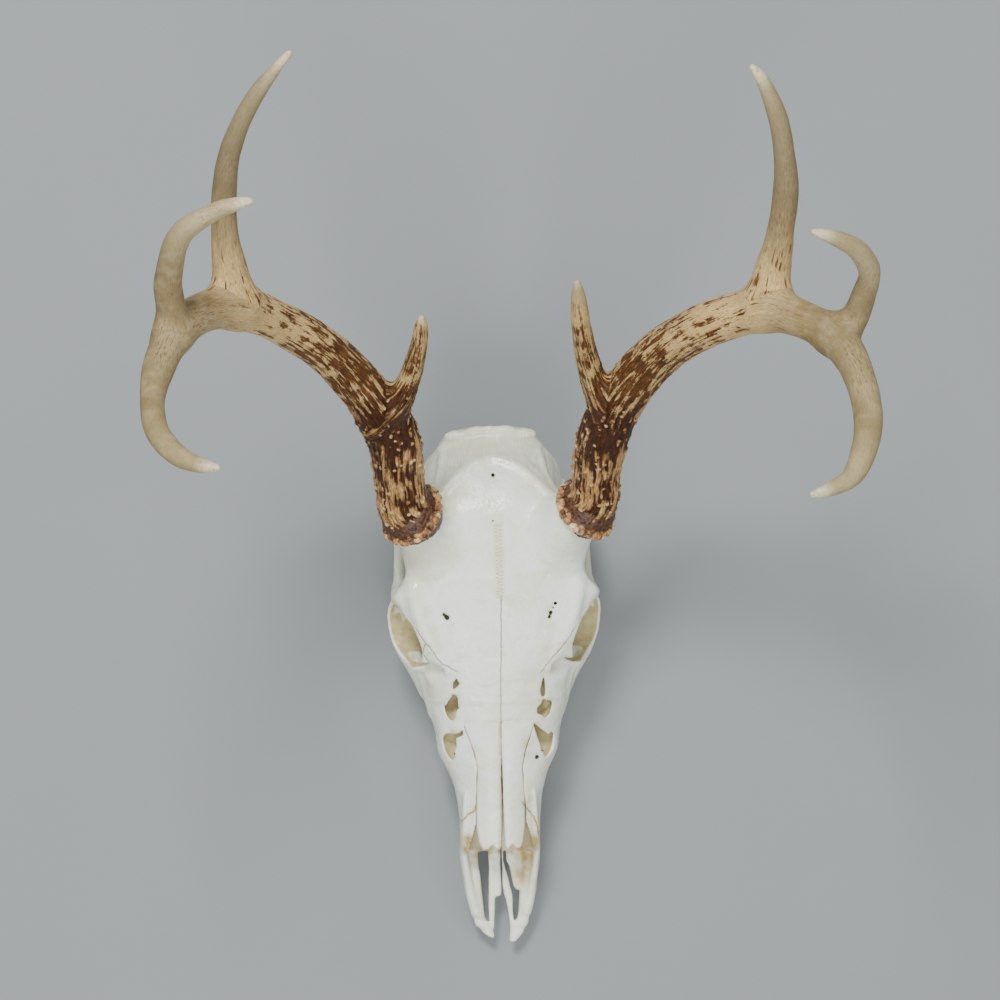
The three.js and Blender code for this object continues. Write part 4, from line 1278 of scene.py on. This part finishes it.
def limb_facts(points, limbs):
    """For every point the angle round the nearest limb, and that limb's age, distance to the tip,
    number, radius and distance from the root there."""
    places = []
    facts = []
    for number, (rows, start) in enumerate(limbs):
        line, side, over, gone, left = limb_frames(rows, start)
        for i in range(len(line)):
            places.append(line[i, :3])
            age = gone[i] * LIMB_SPEEDS[number] + LIMB_AGES[number]
            facts.append((*side[i], *over[i], age, left[i], number, line[i, 3], gone[i]))
    tree = kdtree.KDTree(len(places))
    for i, p in enumerate(places):
        tree.insert(p, i)
    tree.balance()
    nearest = np.array([tree.find(p)[1] for p in points])
    facts = np.array(facts)[nearest]
    away = points - np.array(places)[nearest]
    angle = np.arctan2((away * facts[:, 3:6]).sum(axis=1), (away * facts[:, 0:3]).sum(axis=1))
    return angle, facts[:, 6:].T


def build_antler(side, beam, brow, second, third, material):
    limbs = [(beam, BURR_TOP), (brow, 0.0), (second, 0.0), (third, 0.0)]
    everything = np.concatenate([samples(rows, start) for rows, start in limbs])
    clay = Clay(*limb_box(everything, 3), ANTLER_PITCH)
    clay.add(rope(beam, BURR_TOP), 0)
    for rows, blend in ((brow, 6), (second, 9), (third, 7)):
        clay.add(rope(rows), blend)
    points, faces = clay.surface()
    points = relax(points, faces, 1)

    angle, (age, left, number, radius, gone) = limb_facts(points, limbs)
    flow = np.stack([np.cos(angle) * 12, np.sin(angle) * 12, gone / 9 + number * 50], axis=1)

    rugged = 1 - smooth_step(110, 240, age)
    ridges = 1 - np.abs(noise(flow / (1.7, 1.7, 2.2), 11)) * 2
    grooves = noise(flow / (3.4, 3.4, 3.0), 12)
    hairs = 1 - np.abs(noise(flow / (0.9, 0.9, 1.5), 14)) * 2
    near, tone = pebbles(points / 3.4, 20)
    pearls = np.clip(1 - (near / 0.42) ** 2, 0, 1) * (tone > 0.62)
    strings, string_tone = pebbles(flow / (2.0, 2.0, 0.8), 30)
    pearls = np.maximum(pearls, 0.75 * np.clip(1 - (strings / 0.45) ** 2, 0, 1) * (string_tone > 0.6))
    pearly = 1 - smooth_step(45, 150, age)
    relief = ridges * 0.5 + grooves * 0.35 + hairs * 0.25
    height = relief * (0.08 + 0.95 * rugged) + pearls * pearly * 1.35
    height = height * np.clip(left / 25, 0.1, 1) * np.clip(radius / 9, 0.3, 1)
    normals = point_normals(points, faces)
    lumps = noise(points / 24.0, 15) * 0.6 + noise(points / 9.0, 16) * 0.22
    lumps = lumps * np.clip(left / 30, 0, 1) * smooth_step(0, 20, gone + 50 * (number > 0))
    points = kept_inside(points + normals * (height + lumps)[:, None])
    look = np.clip(0.45 + 0.5 * relief, 0, 1)
    away = np.linalg.norm(points - row_at(beam, FORK_SHADE)[:3] - SHADE_RISE, axis=1)
    shade = smooth_step(*SHADE_REACH, away)
    age = age - SHADE_AGE * shade
    look = look - SHADE_DEPTH * shade

    name = f"{side}_antler"
    piece = make_mesh(
        f"{name}_surface", points, faces,
        [("flow", flow), ("along", age), ("tip", left + 7 * (number == 1)), ("relief", look),
         ("pearl", pearls * pearly),
         # painted shade along the middle of the second tine, fading towards its root and its tip
         ("tine_painted_shade", (number == 2) * smooth_step(5, 40, gone) * smooth_step(4, 25, left))],
    )
    parts = ["beam_base", "beam_middle", "beam_tip", "brow_tine", "second_tine", "third_tine"]
    place_piece(piece, material, [f"{name}_{part}" for part in parts])


# Rows of pearls on the burr: place along it, how far out, size, how many.
PEARL_RINGS = [
    (0.20, 0.97, 1.5, 38), (0.33, 1.02, 1.8, 38), (0.46, 1.04, 1.8, 36), (0.58, 1.0, 1.5, 34),
    (0.70, 0.98, 1.4, 30),
    (0.82, 0.97, 1.2, 28), (0.94, 0.97, 1.1, 24),
]


def build_burr(side, beam, material, seed):
    """The knobbly ring at the foot of the antler."""
    rng = np.random.default_rng(seed)
    rows = []
    for place, swell in BURR_SWELL:
        x, y, z, radius = row_at(beam, place)
        rows.append((x, y, z, radius * swell * 0.9))
    line, side_axis, over_axis = limb_frames(rows, 0)[:3]
    clay = Clay(*limb_box(line, 4), BURR_PITCH)
    clay.add(rope(rows), 0)
    beads = []
    for ring, (place, out, size, number) in enumerate(PEARL_RINGS):
        for k in range(number):
            turn = 2 * math.pi * (k + rng.uniform(-0.35, 0.35) + 0.5 * (ring % 2)) / number
            i = int(np.clip((place + rng.uniform(-0.06, 0.06)) * (len(line) - 1), 0, len(line) - 1))
            r = size * rng.uniform(0.62, 1.25)
            outward = side_axis[i] * math.cos(turn) + over_axis[i] * math.sin(turn)
            spot = line[i, :3] + outward * (line[i, 3] * out + 0.15 * r)
            radii = (r, r * rng.uniform(0.9, 1.3), r * rng.uniform(0.9, 1.2))
            beads.append((*spot, r, rng.uniform(0.1, 1.1) - 0.14 * ring))
            clay.add(egg(spot, radii, rng.normal(size=3)), 0.5)
    points, faces = clay.surface()
    points = relax(points, faces, 1)
    tone = np.zeros(len(points))
    best = np.full(len(points), 99.0)
    for x, y, z, r, t in beads:
        away = np.linalg.norm(points - (x, y, z), axis=1) / r
        nearer = away < best
        best = np.where(nearer, away, best)
        tone = np.where(nearer, t, tone)
    bead = smooth_step(1.35, 0.9, best)
    rough = 0.28 * noise(points / 1.6, seed) + 0.2 * noise(points / 0.9, seed + 1)
    points = points + point_normals(points, faces) * rough[:, None]
    piece = make_mesh(f"{side}_antler_burr_surface", points, faces, [("bead", bead), ("tone", tone)])
    place_piece(piece, material, [f"{side}_antler_burr"])

# ---------------------------------------------------------------- stage and camera

LENS_PER_WIDTH = 3.5888
CAMERA_AT = (-79.8, 2.6, 1998.2)
CAMERA_TARGET = (3.9, -0.1, 80.0)
CAMERA_UP = (0.0328, 0.9995, 0.0)


def build_stage():
    bpy.ops.mesh.primitive_plane_add(size=6.0)
    floor = bpy.context.object
    floor.name = "floor"
    floor.data.materials.append(floor_material())

    world = bpy.data.worlds.new("studio")
    bpy.context.scene.world = world
    world.use_nodes = True
    sky = world.node_tree.nodes["Background"].inputs
    sky["Color"].default_value = (0.93, 0.96, 1.0, 1)
    sky["Strength"].default_value = 0.5

    for name, place, energy, size in (
        ("key", (-0.35, 1.0, 1.75), 39, 0.45),
        ("fill", (0.9, 0.2, 1.9), 7, 1.0),
        ("front", (-0.2, -1.3, 1.6), 24, 1.0),
    ):
        light = bpy.data.lights.new(name, "AREA")
        light.energy = energy
        light.size = size
        lamp = bpy.data.objects.new(name, light)
        lamp.location = place
        lamp.rotation_euler = (Vector((0, 0, 0.1)) - lamp.location).to_track_quat("-Z", "Y").to_euler()
        bpy.context.scene.collection.objects.link(lamp)

    camera = bpy.data.cameras.new("camera")
    camera.sensor_width = 36.0
    camera.lens = 36.0 * LENS_PER_WIDTH
    camera.clip_start = 0.05
    holder = bpy.data.objects.new("camera", camera)
    bpy.context.scene.collection.objects.link(holder)
    place = Vector((np.array(CAMERA_AT) + SHIFT) * MM)
    target = Vector((np.array(CAMERA_TARGET) + SHIFT) * MM)
    ahead = (target - place).normalized()
    right = ahead.cross(Vector(CAMERA_UP)).normalized()
    up = right.cross(ahead)
    holder.matrix_world = Matrix.Translation(place) @ Matrix((right, up, -ahead)).transposed().to_4x4()
    bpy.context.scene.camera = holder


build_stage()
bone = bone_material()
outer_form, stained_form = build_skull(bone)
build_nasals(bone, outer_form, stained_form)
build_teeth(tooth_material())
horn = antler_material()
knobs = burr_material()
build_antler("right", RIGHT_BEAM, RIGHT_BROW_TINE, RIGHT_SECOND_TINE, RIGHT_THIRD_TINE, horn)
build_antler("left", LEFT_BEAM, LEFT_BROW_TINE, LEFT_SECOND_TINE, LEFT_THIRD_TINE, horn)
build_burr("right", RIGHT_BEAM, knobs, 41)
build_burr("left", LEFT_BEAM, knobs, 52)
